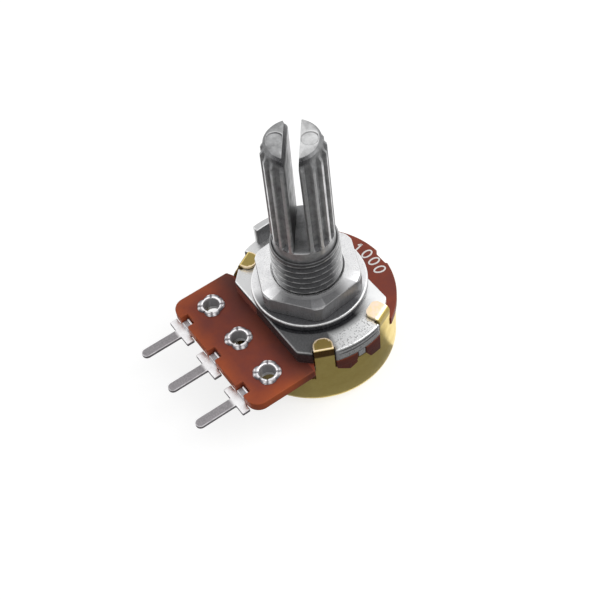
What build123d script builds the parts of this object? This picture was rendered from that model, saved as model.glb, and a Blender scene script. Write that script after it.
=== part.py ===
from build123d import *
from math import cos, radians, sin, tan
import os

# A 16 mm rotary potentiometer for panel mounting: a zinc front plate with a threaded bushing, a phenolic
# board that carries the resistive track and three solder pins, a rotor on a split and splined shaft, and
# a drawn can whose tabs fold over the plate. Z = 0 is the mounting face, Z is the shaft's axis and points
# out of the panel, and the solder pins point along -Y. All sizes are in millimetres and degrees.

# Driving dimensions: the can gives the body its round outline, and the plate and board follow it
can_radius = 8.35
can_sheet = 0.4
can_depth = 8.6  # from the mounting face to the can's back
can_edge_radius = 1.1
can_inner_break = 0.4
window_margin = 1.35  # from the can's side to its opening round the rivets
window_height = 1.5

# Front plate and bushing, one casting
plate_thickness = 1.7
plate_front_inset = 2.7  # from the can's outline to the straight edge on the pins' side
plate_back_inset = 3.45
front_right_inset = 2.5  # from the can's outline to where the straight edge ends
front_left_inset = 3.5
back_right_inset = 2.45
back_left_inset = 3.5
lug_overhang = 0.1  # the plate's end on +X stands out beyond the can
lug_inset = 0.3  # and its end on -X stays inside
plate_break = 0.15  # broken top edge
bushing_radius = 3.5  # M7
bushing_length = 7.0
bushing_chamfer = 0.25
bore_clearance = 0.05  # between the shaft and the bore
bore_countersink = 0.15
locator_width = 2.3  # tab that stops the body from turning in the panel
locator_thickness = 0.75
locator_height = 2.2
key_width = 0.8  # peg of the plate that enters the board's edge
key_thickness = 0.7
key_depth = 0.8
key_clearance = 0.08

# Shaft
shaft_radius = 3.0
shaft_length = 20.0  # from the mounting face
spline_length = 11.7
spline_root_radius = 2.65
spline_count = 18
spline_tip_width = 0.26
spline_base_width = 0.5
spline_nose = 0.75  # plain nose ahead of the spline
nose_chamfer = 0.25
slot_width = 1.4
slot_angle = -37.5  # direction of the slot, round the axis
slot_break = 0.12
ejector_radius = 0.7  # round marks of the mould's pins, one on each half of the nose
ejector_distance = 1.5  # from the axis, across the slot
ejector_depth = 0.1
groove_radius = 2.0
tail_radius = 2.4
tail_flat_width = 3.4  # across the two flats that drive the rotor
tail_head = 0.45
tail_head_chamfer = 0.15

# Retaining clip
clip_radius = 3.3
clip_relief_radius = 2.6
clip_thickness = 0.5
clip_mouth = 3.4
clip_prong_width = 1.1
clip_gap = 0.06  # end float between the clip and the plate

# Board, its prints and its rivet holes
board_thickness = 1.1
board_overhang = 0.15  # the board's round part stands out beyond the can
tongue_margin = 2.6  # from the outer pins' centres to the tongue's sides
tongue_length = 3.25  # from the row of rivets to the edge that the pins cross
tongue_corner_radius = 1.3
print_thickness = 0.04
track_gap_angle = 46.0  # part of the circle without a track, about -Y
lead_width = 1.2
pad_radius = 1.45
pad_end_angle = 6.0  # silver print at each end of the track
snap_width = 1.8  # shallow step where the board was snapped from its strip
snap_depth = 0.3
snap_distance = 0.6  # from the Y axis to the step's middle

# Solder pins, each with a hollow rivet drawn from its own sheet
pin_names = ("pin_left", "pin_wiper", "pin_right")
pin_pitch = 5.0
rivet_setback = 0.25  # the row of hollow rivets lies this far outside the can's radius
pin_sheet = 0.4
rivet_radius = 0.95
rivet_bore = 0.8
rivet_clearance = 0.03
rim_radius = 1.12
rim_height = 0.26
rim_break = 0.08
petal_count = 4
petal_reach = 1.45
petal_width = 0.8
petal_thickness = 0.1
petal_angle = 61.0
pin_ring_radius = 1.55
pin_strip_width = 2.0
shoulder_width = 3.4
shoulder_length = 0.85
pin_width = 1.0
pin_length = 5.0  # from the board's edge to the pin's end
pin_end_radius = 0.42
pin_coin = 0.12  # bevel along the pin's upper edges
notch_width = 1.3  # notch of the board over each pin
notch_depth = 0.85
upstand_width = 1.0
upstand_thickness = 0.25
upstand_height = 0.65
upstand_clearance = 0.06

# Tabs of the can
tab_width = 1.9
tab_bend = 0.5
tab_tip_radius = 0.85
tab_length = 1.6  # the part that lies on the plate
tab_clearance = 0.12
tab_lean_right = 0.0  # how far the tabs lean in between the board and the fold
tab_lean_left = 0.8
tab_angles_right = (-26.0, 24.0)
tab_angles_left = (152.0, 208.0)

# Rotor
carrier_thickness = 1.0
carrier_gap = 0.85  # from the prints to the carrier's face, where the contacts spring
hub_gap = 0.1  # from the hub to the clip
drive_clearance = 0.02
stop_boss_angle = 29.0  # width of the stop on the plate
stop_lug_angle = 29.0  # width of the lug on the carrier
stop_boss_centre = 90.0
stop_gap = 0.15
travel = 300.0
wiper_angle = 240.0  # where the contacts stand at the anticlockwise stop
spring_sheet = 0.15
finger_width = 0.6
finger_length = 2.9
finger_foot = 0.4
finger_tip = 0.35
finger_gap = 0.04
spring_base = 1.3
spring_margin = 0.2  # from the spring's base to the carrier's rim

# Washer and nut
washer_radius = 5.73
washer_thickness = 0.9
washer_break = 0.22
nut_across_flats = 10.0
nut_thickness = 2.0
nut_angle = 36.0  # direction of one corner
nut_face_radius = 5.45  # round face left by the chamfer
nut_chamfer_angle = 30.0
nut_mouth = 0.2
thread_clearance = 0.05

# Rings between the clip and the can's wall, as shares of the room there, from the inside outwards
can_inner_radius = can_radius - can_sheet
rotor_room = can_inner_radius - clip_radius
hub_radius = clip_radius + 0.02 * rotor_room
stop_inner_radius = clip_radius + 0.09 * rotor_room
stop_outer_radius = clip_radius + 0.225 * rotor_room
board_hole_radius = clip_radius + 0.26 * rotor_room
ring_inner_radius = clip_radius + 0.3 * rotor_room
ring_outer_radius = clip_radius + 0.44 * rotor_room
track_inner_radius = clip_radius + 0.53 * rotor_room
track_outer_radius = clip_radius + 0.85 * rotor_room
carrier_radius = clip_radius + 0.86 * rotor_room
ring_radius = (ring_inner_radius + ring_outer_radius) / 2
track_radius = (track_inner_radius + track_outer_radius) / 2

# Outlines of the plate and the board
lug_reach_right = can_radius + lug_overhang
lug_reach_left = can_radius - lug_inset
plate_front = can_radius - plate_front_inset
plate_back = can_radius - plate_back_inset
front_right = can_radius - front_right_inset
front_left = can_radius - front_left_inset
back_right = can_radius - back_right_inset
back_left = can_radius - back_left_inset
board_radius = can_radius + board_overhang
key_outer = min(lug_reach_right, board_radius)
tongue_width = (len(pin_names) - 1) * pin_pitch + 2 * tongue_margin
rivet_reach = can_radius + rivet_setback
tongue_reach = rivet_reach + tongue_length
notch_wall = tongue_reach - notch_depth
shoulder_end = tongue_reach + shoulder_length
pin_reach = tongue_reach + pin_length
window_width = 2 * (can_radius - window_margin)

# Levels and places that follow
full_turn = 360.0
bore_radius = shaft_radius + bore_clearance
board_top = -plate_thickness
board_bottom = board_top - board_thickness
print_bottom = board_bottom - print_thickness
spline_bottom = shaft_length - spline_length
clip_top = board_top - clip_gap
clip_bottom = clip_top - clip_thickness
carrier_top = print_bottom - carrier_gap
carrier_bottom = carrier_top - carrier_thickness
stop_lug_centre = stop_boss_centre - (full_turn - travel) / 2
pin_places = [(i - (len(pin_names) - 1) / 2) * pin_pitch for i in range(len(pin_names))]
tab_places = [(angle, tab_lean_right) for angle in tab_angles_right]
tab_places += [(angle, tab_lean_left) for angle in tab_angles_left]

os.makedirs("parts", exist_ok=True)


def spot(radius, angle):
    """Point at a radius and an angle round the shaft's axis."""
    return (radius * cos(radians(angle)), radius * sin(radians(angle)))


def ring_sector(inner, outer, centre, width):
    """Sketch of part of a flat ring, of a given angle either side of its centre."""
    start = centre - width / 2
    end = centre + width / 2
    with BuildSketch() as sector:
        with BuildLine():
            Line(spot(inner, start), spot(outer, start))
            ThreePointArc(spot(outer, start), spot(outer, centre), spot(outer, end))
            Line(spot(outer, end), spot(inner, end))
            ThreePointArc(spot(inner, end), spot(inner, centre), spot(inner, start))
        make_face()
    return sector.sketch


def tab_notch(angle, inner_radius):
    """Sketch of a notch, open outwards, that lets one tab of the can pass."""
    reach = board_radius + lug_reach_right
    with BuildSketch() as notch:
        with PolarLocations((inner_radius + reach) / 2, 1, start_angle=angle):
            Rectangle(reach - inner_radius, tab_width + 2 * tab_clearance)
    return notch.sketch


def double_d(radius, flat_width):
    """Sketch of a round section with two flats, as wide across them as flat_width."""
    with BuildSketch() as section:
        Circle(radius)
        with Locations(Rot(0, 0, slot_angle)):
            Rectangle(2 * radius, flat_width, mode=Mode.INTERSECT)
    return section.sketch


# Front plate: two straight edges with 45 degree corners and a round lug at each end. The bushing, the
# locating tab, the key that enters the board and the stop for the rotor are cast with it.
with BuildSketch() as lug_ends:
    Circle(lug_reach_right)
    with Locations((-lug_reach_right / 2, 0)):
        Rectangle(lug_reach_right, 2 * lug_reach_right, mode=Mode.SUBTRACT)
    Circle(lug_reach_left)

with BuildPart() as bushing_plate:
    with BuildSketch(Plane.XY.offset(board_top)):
        with BuildLine():
            Polyline(
                (-front_left, -plate_front),
                (front_right, -plate_front),
                (front_right + plate_front, 0),
                (back_right + plate_back, 0),
                (back_right, plate_back),
                (-back_left, plate_back),
                (-back_left - plate_back, 0),
                (-front_left - plate_front, 0),
                close=True,
            )
        make_face()
        add(lug_ends.sketch, mode=Mode.INTERSECT)
    extrude(amount=plate_thickness)
    chamfer(bushing_plate.faces().sort_by(Axis.Z)[-1].edges(), plate_break)
    with BuildSketch(Plane.XY.offset(board_top)):
        for angle, lean in tab_places:
            add(tab_notch(angle, can_inner_radius - lean - tab_clearance))
    extrude(amount=plate_thickness, mode=Mode.SUBTRACT)

    with BuildSketch():
        Circle(bushing_radius)
    extrude(amount=bushing_length)
    chamfer(bushing_plate.faces().sort_by(Axis.Z)[-1].edges(), bushing_chamfer)

    with BuildSketch():
        with Locations((-lug_reach_left + locator_thickness / 2, 0)):
            Rectangle(locator_thickness, locator_width)
        Circle(lug_reach_left, mode=Mode.INTERSECT)
    extrude(amount=locator_height)

    with BuildSketch(Plane.XY.offset(board_top)):
        with Locations((key_outer - key_thickness / 2, 0)):
            Rectangle(key_thickness, key_width)
        Circle(key_outer, mode=Mode.INTERSECT)
    extrude(amount=-key_depth)

    with BuildSketch(Plane.XY.offset(board_top)):
        add(ring_sector(stop_inner_radius, stop_outer_radius, stop_boss_centre, stop_boss_angle))
    extrude(amount=-(board_thickness - stop_gap))

    with BuildSketch(Plane.XY.offset(board_top)):
        Circle(bore_radius)
    extrude(amount=plate_thickness + bushing_length, mode=Mode.SUBTRACT)
    mouth = bushing_plate.edges().filter_by(GeomType.CIRCLE).group_by(Axis.Z)[-1].sort_by(SortBy.RADIUS)[0]
    chamfer(mouth, bore_countersink)

# Shaft: a splined, split nose, a plain journal that turns in the bushing, the clip's groove and a tail
# with two flats, staked over behind the rotor.
with BuildPart() as shaft:
    with BuildSketch(Plane.XY.offset(clip_top)):
        Circle(shaft_radius)
    extrude(amount=spline_bottom - clip_top)

    with BuildSketch(Plane.XY.offset(spline_bottom)):
        Circle(spline_root_radius)
    extrude(amount=spline_length)
    chamfer(shaft.faces().sort_by(Axis.Z)[-1].edges(), nose_chamfer)

    with BuildSketch(Plane.XY.offset(spline_bottom)):
        with PolarLocations(0, spline_count, start_angle=slot_angle):
            Polygon(
                (0, -spline_base_width / 2),
                (spline_root_radius, -spline_base_width / 2),
                (shaft_radius + bore_clearance, -spline_tip_width / 2),
                (shaft_radius + bore_clearance, spline_tip_width / 2),
                (spline_root_radius, spline_base_width / 2),
                (0, spline_base_width / 2),
                align=None,
            )
        Circle(shaft_radius, mode=Mode.INTERSECT)
    extrude(amount=spline_length - spline_nose)

    with BuildSketch(Plane.XY.offset(spline_bottom)):
        with Locations(Rot(0, 0, slot_angle)):
            Rectangle(4 * shaft_radius, slot_width)
    extrude(amount=spline_length, mode=Mode.SUBTRACT)
    nose_faces = shaft.faces().filter_by(Axis.Z).group_by(Axis.Z)[-1]
    chamfer(nose_faces.edges().filter_by(GeomType.LINE), slot_break)

    with BuildSketch(Plane.XY.offset(shaft_length)):
        with PolarLocations(ejector_distance, 2, start_angle=slot_angle + 90):
            Circle(ejector_radius)
    extrude(amount=-ejector_depth, mode=Mode.SUBTRACT)

    with BuildSketch(Plane.XY.offset(clip_top)):
        Circle(groove_radius)
    extrude(amount=-clip_thickness)
    with BuildSketch(Plane.XY.offset(clip_bottom)):
        add(double_d(tail_radius, tail_flat_width))
    extrude(amount=carrier_bottom - clip_bottom)
    with BuildSketch(Plane.XY.offset(carrier_bottom)):
        Circle(tail_radius)
    extrude(amount=-tail_head)
    chamfer(shaft.faces().sort_by(Axis.Z)[0].edges(), tail_head_chamfer)

# Retaining clip: an open ring with three prongs that bite into the shaft's groove behind the plate.
with BuildPart() as retaining_clip:
    with BuildSketch(Plane.XY.offset(clip_top)):
        Circle(clip_radius)
        Circle(clip_relief_radius, mode=Mode.SUBTRACT)
        with PolarLocations((clip_relief_radius + clip_radius) / 4, 3, start_angle=90):
            Rectangle((clip_relief_radius + clip_radius) / 2, clip_prong_width)
        Circle(groove_radius, mode=Mode.SUBTRACT)
        with Locations((0, -clip_radius)):
            Rectangle(clip_mouth, 2 * clip_radius - 2 * groove_radius, mode=Mode.SUBTRACT)
    extrude(amount=-clip_thickness)

# Board: a round element board with a straight tongue, notched for the can's tabs, the plate's key and
# the solder pins.
with BuildPart() as element_board:
    with BuildSketch(Plane.XY.offset(board_bottom)) as outline:
        Circle(board_radius)
        with Locations((0, -tongue_reach / 2)):
            Rectangle(tongue_width, tongue_reach)
        fillet(outline.vertices().group_by(Axis.Y)[0], tongue_corner_radius)
        Circle(board_hole_radius, mode=Mode.SUBTRACT)
        with Locations(*[(x, -rivet_reach) for x in pin_places]):
            Circle(rivet_radius + rivet_clearance, mode=Mode.SUBTRACT)
        with Locations(*[(x, -notch_wall - notch_depth) for x in pin_places]):
            Rectangle(notch_width, 2 * notch_depth, mode=Mode.SUBTRACT)
        with Locations((key_outer, 0)):
            key_slot = (2 * (key_thickness + key_clearance), key_width + 2 * key_clearance)
            Rectangle(*key_slot, mode=Mode.SUBTRACT)
        with Locations((snap_distance, board_radius)):
            Rectangle(snap_width, 2 * snap_depth, mode=Mode.SUBTRACT)
        for angle, lean in tab_places:
            add(tab_notch(angle, can_inner_radius - tab_clearance), mode=Mode.SUBTRACT)
    extrude(amount=board_thickness)

# Prints on the board's back: the carbon track, a silver land at each end of it, and the silver ring that
# leads to the middle pin.
with BuildPart() as carbon_track:
    with BuildSketch(Plane.XY.offset(board_bottom)):
        add(ring_sector(track_inner_radius, track_outer_radius, 90, full_turn - track_gap_angle))
    extrude(amount=-print_thickness)

with BuildPart() as collector_ring:
    with BuildSketch(Plane.XY.offset(board_bottom)):
        Circle(ring_outer_radius)
        with Locations((0, -(ring_radius + rivet_reach) / 2)):
            Rectangle(lead_width, rivet_reach - ring_radius)
        with Locations((0, -rivet_reach)):
            Circle(pad_radius)
            Circle(rivet_radius + rivet_clearance, mode=Mode.SUBTRACT)
        Circle(ring_inner_radius, mode=Mode.SUBTRACT)
    extrude(amount=-print_thickness)


def end_land(pin_x, side):
    """Silver land from one end of the track to its rivet; side is -1 on the left and 1 on the right."""
    angle = 270 + side * (track_gap_angle - pad_end_angle) / 2
    with BuildPart() as land:
        with BuildSketch(Plane.XY.offset(board_bottom)):
            add(ring_sector(track_inner_radius, track_outer_radius, angle, pad_end_angle))
            with BuildLine():
                Line(spot(track_radius, angle), (pin_x, -rivet_reach))
            trace(line_width=lead_width)
            with Locations((pin_x, -rivet_reach)):
                Circle(pad_radius)
                Circle(rivet_radius + rivet_clearance, mode=Mode.SUBTRACT)
            add(
                ring_sector(track_inner_radius, track_outer_radius, 90, full_turn - track_gap_angle),
                mode=Mode.SUBTRACT,
            )
        extrude(amount=-print_thickness)
    return land.part


silver_land_left = end_land(pin_places[0], -1)
silver_land_right = end_land(pin_places[-1], 1)


def solder_pin(pin_x):
    """One pin: a ring under the board, a strip, a shoulder outside it and a rounded leg, with the hollow
    rivet that is drawn up through the board and clinched into petals."""
    with BuildPart() as pin:
        with BuildSketch(Plane.XY.offset(print_bottom)) as blank:
            with Locations((pin_x, -rivet_reach)):
                Circle(pin_ring_radius)
            with Locations((pin_x, -(rivet_reach + tongue_reach) / 2)):
                Rectangle(pin_strip_width, tongue_reach - rivet_reach)
            with Locations((pin_x, -(tongue_reach + shoulder_end) / 2)):
                Rectangle(shoulder_width, shoulder_length)
            with Locations((pin_x, -(shoulder_end + pin_reach) / 2)):
                Rectangle(pin_width, pin_reach - shoulder_end)
            fillet(blank.vertices().group_by(Axis.Y)[0], pin_end_radius)
        extrude(amount=-pin_sheet)
        leg_edges = pin.faces().sort_by(Axis.Z)[-1].edges()
        chamfer(leg_edges.filter_by_position(Axis.Y, -pin_reach, -shoulder_end, (True, False)), pin_coin)

        with BuildSketch(Plane.XY.offset(print_bottom)):
            with Locations((pin_x, -notch_wall - upstand_clearance - upstand_thickness / 2)):
                Rectangle(upstand_width, upstand_thickness)
        extrude(amount=upstand_height)

        with BuildSketch(Plane.XY.offset(print_bottom)):
            with Locations((pin_x, -rivet_reach)):
                Circle(rivet_radius)
        extrude(amount=board_top - print_bottom)
        with BuildSketch(Plane.XY.offset(board_top)):
            with Locations((pin_x, -rivet_reach)):
                with PolarLocations(petal_reach / 2, petal_count, start_angle=petal_angle):
                    Trapezoid(petal_width, petal_reach, 75, rotation=-90)
        extrude(amount=petal_thickness)
        with BuildSketch(Plane.XY.offset(board_top)):
            with Locations((pin_x, -rivet_reach)):
                Circle(rim_radius)
        extrude(amount=rim_height)
        chamfer(pin.faces().sort_by(Axis.Z)[-1].edges(), rim_break)
        with BuildSketch(Plane.XY.offset(print_bottom - pin_sheet)):
            with Locations((pin_x, -rivet_reach)):
                Circle(rivet_bore)
        extrude(amount=pin_sheet + board_top - print_bottom + rim_height, mode=Mode.SUBTRACT)
    return pin.part


def can_tab(angle, lean):
    """One tab of the can: it stands in the board's and the plate's notches and folds over the plate."""
    x_dir = (*spot(1, angle), 0)
    z_dir = (*spot(1, angle - 90), 0)
    fold = can_radius - lean
    with BuildPart() as tab:
        with BuildSketch(Plane(origin=(0, 0, 0), x_dir=x_dir, z_dir=z_dir)):
            with BuildLine():
                Line((can_inner_radius, board_bottom - can_sheet), (can_radius, board_bottom - can_sheet))
                Line((can_radius, board_bottom - can_sheet), (can_radius, board_top))
                Line((can_radius, board_top), (fold, can_sheet - tab_bend))
                RadiusArc((fold, can_sheet - tab_bend), (fold - tab_bend, can_sheet), -tab_bend)
                Line((fold - tab_bend, can_sheet), (fold - tab_length, can_sheet))
                Line((fold - tab_length, can_sheet), (fold - tab_length, 0))
                Line((fold - tab_length, 0), (fold - tab_bend, 0))
                Line((fold - tab_bend, 0), (fold - can_sheet, can_sheet - tab_bend))
                Line((fold - can_sheet, can_sheet - tab_bend), (can_inner_radius, board_top))
                Line((can_inner_radius, board_top), (can_inner_radius, board_bottom - can_sheet))
            make_face()
        extrude(amount=tab_width / 2, both=True)
        tip = tab.edges().filter_by(Axis.Z).filter_by_position(Axis.Z, 0, can_sheet)
        fillet(tip.sort_by(lambda edge: (edge @ 0.5).X ** 2 + (edge @ 0.5).Y ** 2)[:2], tab_tip_radius)
    return tab.part


# Can: a drawn cup with a rounded back edge, open at the pins' rivets, with four tabs on its rim.
with BuildPart() as rear_can:
    with BuildSketch(Plane.XY.offset(-can_depth)):
        Circle(can_radius)
    extrude(amount=can_depth + board_bottom)
    fillet(rear_can.faces().sort_by(Axis.Z)[0].edges(), can_edge_radius)
    with BuildPart(mode=Mode.PRIVATE) as can_room:
        with BuildSketch(Plane.XY.offset(can_sheet - can_depth)):
            Circle(can_inner_radius)
        extrude(amount=can_depth + board_bottom - can_sheet)
        chamfer(can_room.faces().sort_by(Axis.Z)[0].edges(), can_inner_break)
    add(can_room.part, mode=Mode.SUBTRACT)
    with BuildSketch(Plane.XY.offset(board_bottom)):
        with Locations((0, -can_radius)):
            Rectangle(window_width, can_radius)
    extrude(amount=-window_height, mode=Mode.SUBTRACT)
    for angle, lean in tab_places:
        add(can_tab(angle, lean))

# Rotor: a moulded carrier on the shaft's tail, with the lug that meets the plate's stop, and a sheet
# spring whose two fingers press on the track and on the collector ring.
with BuildPart() as wiper_carrier:
    with BuildSketch(Plane.XY.offset(carrier_bottom)):
        Circle(carrier_radius)
    extrude(amount=carrier_thickness)
    with BuildSketch(Plane.XY.offset(carrier_top)):
        Circle(hub_radius)
    extrude(amount=clip_bottom - hub_gap - carrier_top)
    with BuildSketch(Plane.XY.offset(carrier_top)):
        add(ring_sector(stop_inner_radius, stop_outer_radius, stop_lug_centre, stop_lug_angle))
    extrude(amount=board_top - stop_gap - carrier_top)
    with BuildSketch(Plane.XY.offset(carrier_bottom)):
        add(double_d(tail_radius + drive_clearance, tail_flat_width + 2 * drive_clearance))
    extrude(amount=clip_bottom - carrier_bottom, mode=Mode.SUBTRACT)

with BuildPart() as wiper_spring:
    along = (*spot(1, wiper_angle - 90), 0)
    touch = print_bottom - finger_gap
    foot_top = carrier_top + spring_sheet
    for finger_radius in (track_radius, ring_radius):
        place = (*spot(finger_radius, wiper_angle), 0)
        with BuildSketch(Plane(origin=place, x_dir=along, z_dir=(*spot(-1, wiper_angle), 0))):
            with BuildLine():
                Polyline(
                    (-finger_tip, touch),
                    (finger_tip, touch),
                    (finger_length, foot_top),
                    (finger_length + finger_foot, foot_top),
                    (finger_length + finger_foot, carrier_top),
                    (finger_length, carrier_top),
                    (finger_tip, touch - spring_sheet),
                    (-finger_tip, touch - spring_sheet),
                    close=True,
                )
            make_face()
        extrude(amount=finger_width / 2, both=True)
    with BuildSketch(Plane.XY.offset(carrier_top)):
        with BuildLine():
            inner = ring_radius - finger_width / 2
            outer = track_radius + finger_width / 2
            corner = Vector(*spot(inner, wiper_angle)) + Vector(*along) * finger_length
            span = Vector(*spot(outer - inner, wiper_angle))
            base = Vector(*along) * spring_base
            Polyline(corner, corner + span, corner + span + base, corner + base, close=True)
        make_face()
        Circle(carrier_radius - spring_margin, mode=Mode.INTERSECT)
    extrude(amount=spring_sheet)

# Washer and nut, on the bushing's thread
thread_bore = bushing_radius + thread_clearance

with BuildPart() as washer:
    with BuildSketch():
        Circle(washer_radius)
    extrude(amount=washer_thickness)
    chamfer(washer.edges(), washer_break)
    with BuildSketch():
        Circle(thread_bore)
    extrude(amount=washer_thickness, mode=Mode.SUBTRACT)

nut_top = washer_thickness + nut_thickness
nut_corner = nut_across_flats / 2 / cos(radians(30))

with BuildPart() as nut:
    with BuildSketch(Plane.XY.offset(washer_thickness)):
        RegularPolygon(nut_corner, 6, rotation=nut_angle)
    extrude(amount=nut_thickness)
    with BuildSketch(Plane.XZ):
        with BuildLine():
            Polyline(
                (0, washer_thickness),
                (nut_corner, washer_thickness),
                (nut_corner, nut_top - (nut_corner - nut_face_radius) * tan(radians(nut_chamfer_angle))),
                (nut_face_radius, nut_top),
                (0, nut_top),
                close=True,
            )
        make_face()
    revolve(axis=Axis.Z, mode=Mode.INTERSECT)
    with BuildSketch(Plane.XY.offset(washer_thickness)):
        Circle(thread_bore)
    extrude(amount=nut_thickness, mode=Mode.SUBTRACT)
    top_circles = nut.edges().filter_by(GeomType.CIRCLE).group_by(Axis.Z)[-1]
    chamfer(top_circles.sort_by(SortBy.RADIUS)[0], nut_mouth)

pieces = {
    "bushing_plate": bushing_plate.part,
    "shaft": shaft.part,
    "retaining_clip": retaining_clip.part,
    "element_board": element_board.part,
    "carbon_track": carbon_track.part,
    "collector_ring": collector_ring.part,
    "silver_land_left": silver_land_left,
    "silver_land_right": silver_land_right,
    "rear_can": rear_can.part,
    "wiper_carrier": wiper_carrier.part,
    "wiper_spring": wiper_spring.part,
    "washer": washer.part,
    "nut": nut.part,
}
for pin_name, pin_x in zip(pin_names, pin_places):
    pieces[pin_name] = solder_pin(pin_x)

for name, piece in pieces.items():
    piece.label = name
    export_step(piece, f"parts/{name}.step")
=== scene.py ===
"""Looks of a panel-mount rotary potentiometer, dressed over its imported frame.

Shapes are worked out in millimetres on numpy grids and end in metres in the frame's own axes: Z is the
shaft's axis, Z = 0 is the mounting face, and the solder pins point along -Y.
"""

import logging
import math
from collections.abc import Callable
from dataclasses import dataclass
from enum import Enum

import bmesh
import bpy
import numpy as np
from mathutils import Matrix, Vector
from mathutils.geometry import delaunay_2d_cdt

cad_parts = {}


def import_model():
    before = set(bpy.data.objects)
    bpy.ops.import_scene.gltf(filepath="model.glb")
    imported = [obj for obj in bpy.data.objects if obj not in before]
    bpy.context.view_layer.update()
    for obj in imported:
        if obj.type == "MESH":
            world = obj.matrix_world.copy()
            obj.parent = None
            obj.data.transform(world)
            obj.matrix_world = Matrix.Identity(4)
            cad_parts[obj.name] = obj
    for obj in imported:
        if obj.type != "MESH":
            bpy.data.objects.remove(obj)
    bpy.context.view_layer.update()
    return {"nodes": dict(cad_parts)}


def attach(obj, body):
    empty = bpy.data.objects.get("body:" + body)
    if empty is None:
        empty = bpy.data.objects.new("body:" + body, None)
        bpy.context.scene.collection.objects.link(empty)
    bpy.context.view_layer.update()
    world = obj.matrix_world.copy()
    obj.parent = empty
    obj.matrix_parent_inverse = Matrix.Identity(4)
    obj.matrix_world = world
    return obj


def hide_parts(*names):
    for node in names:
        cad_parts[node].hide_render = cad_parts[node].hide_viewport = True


log = logging.getLogger("potentiometer")

MM = 0.001
TURN = 2.0 * math.pi
# Names of the per-point marks: the first holds rubbed edges and painted highlights, the second painted shade
# and painted reflections of dark things.
EDGE = "edge"
PAINTED_SHADE = "painted_shade"
WELD = 1e-4
SHARP_ANGLE = math.radians(42.0)
# Directions of the can's tabs, in degrees from +X.
RIGHT_TABS = (-26.0, 24.0)
LEFT_TABS = (152.0, 208.0)
Array = np.ndarray
Colour = tuple[float, float, float]
Socket = bpy.types.NodeSocket


def polar(radius: Array | float, angle: Array | float) -> Array:
    """Points at radii and angles round the axis: (r cos a, r sin a)."""
    return np.stack(np.broadcast_arrays(radius * np.cos(angle), radius * np.sin(angle)), axis=-1)


def round_axis(radius: Array | float, angle: Array, height: Array | float) -> Array:
    """Points at radii, angles and heights: (r cos a, r sin a, z), each spread over the others' shape."""
    return np.stack(np.broadcast_arrays(radius * np.cos(angle), radius * np.sin(angle), height), axis=-1)


def raised(loop: Array, height: float) -> Array:
    """A flat loop's points at one height."""
    return np.column_stack([loop, np.full(len(loop), height)])


def rectangle(x: tuple[float, float], y: tuple[float, float]) -> Array:
    """The anticlockwise corners of a rectangle between two values of x and two of y."""
    return np.array([(x[0], y[0]), (x[1], y[0]), (x[1], y[1]), (x[0], y[1])])


def circle(radius: float, count: int, centre: tuple[float, float] = (0.0, 0.0)) -> Array:
    """Points evenly round a circle, anticlockwise: centre + r (cos a, sin a)."""
    return polar(radius, np.arange(count) * TURN / count) + np.asarray(centre)


def arc(centre: tuple[float, float], radius: float, start: float, end: float, count: int) -> Array:
    """Points along an arc: centre + r (cos a, sin a) for angles from start to end.

    Args:
        centre: The arc's centre, in mm.
        radius: Its radius, in mm.
        start: First angle, in degrees.
        end: Last angle, in degrees.
        count: Number of points.

    Returns:
        The points, one row each.
    """
    return polar(radius, np.radians(np.linspace(start, end, count))) + np.asarray(centre)


def even(loop: Array, spacing: float) -> Array:
    """Spaces a closed loop's points evenly along its length.

    The running length along the loop is divided into equal steps, and each coordinate is read at those steps
    between its neighbours.

    Args:
        loop: Corner points of the loop, in order.
        spacing: About how far apart the new points are, in mm.

    Returns:
        The new points.
    """
    closed = np.vstack([loop, loop[:1]])
    along = np.concatenate([[0.0], np.cumsum(np.linalg.norm(np.diff(closed, axis=0), axis=1))])
    count = max(12, int(round(along[-1] / spacing)))
    steps = np.arange(count) * along[-1] / count
    return np.stack([np.interp(steps, along, closed[:, k]) for k in range(loop.shape[1])], axis=-1)


def soften(loop: Array, passes: int) -> Array:
    """Rounds a closed loop's corners: a pass takes half a point and a quarter of each neighbour."""
    for _ in range(passes):
        loop = 0.5 * loop + 0.25 * (np.roll(loop, 1, axis=0) + np.roll(loop, -1, axis=0))
    return loop


def inset(loop: Array, distance: float) -> Array:
    """Moves an anticlockwise loop inwards, square to the line between each point's neighbours."""
    along = np.roll(loop, -1, axis=0) - np.roll(loop, 1, axis=0)
    along /= np.linalg.norm(along, axis=1, keepdims=True)
    return loop + distance * np.stack([-along[:, 1], along[:, 0]], axis=-1)


def bite(loop: Array, angle: float, floor: float, half_width: float, middle: float = 0.0) -> Array:
    """Cuts a parallel-sided notch, open outwards, into an anticlockwise loop.

    A point is inside the notch where its distance along the notch's direction is over floor and its distance
    across it is under half_width. Those points give way to the notch's four corners.

    Args:
        loop: Closely spaced points of the outline.
        angle: Direction in which the notch opens, in degrees.
        floor: Distance of the notch's floor from the axis, in mm.
        half_width: Half the notch's width, in mm.
        middle: How far the notch's middle line lies to the left of the axis, in mm.

    Returns:
        The outline with the notch.
    """
    out = polar(1.0, math.radians(angle))
    left = np.array([-out[1], out[0]])
    along = loop @ out
    across = loop @ left - middle
    inside = (np.abs(across) < half_width) & (along > floor)
    first = int(np.flatnonzero(inside & ~np.roll(inside, 1))[0])
    loop, along, inside = (np.roll(a, -first, axis=0) for a in (loop, along, inside))
    count = int(np.argmin(inside))
    depths = np.array([along[0], floor, floor, along[count - 1]])
    sides = middle + half_width * np.array([-1.0, -1.0, 1.0, 1.0])
    corners = depths[:, None] * out + sides[:, None] * left
    return np.vstack([corners, loop[count:]])


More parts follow.
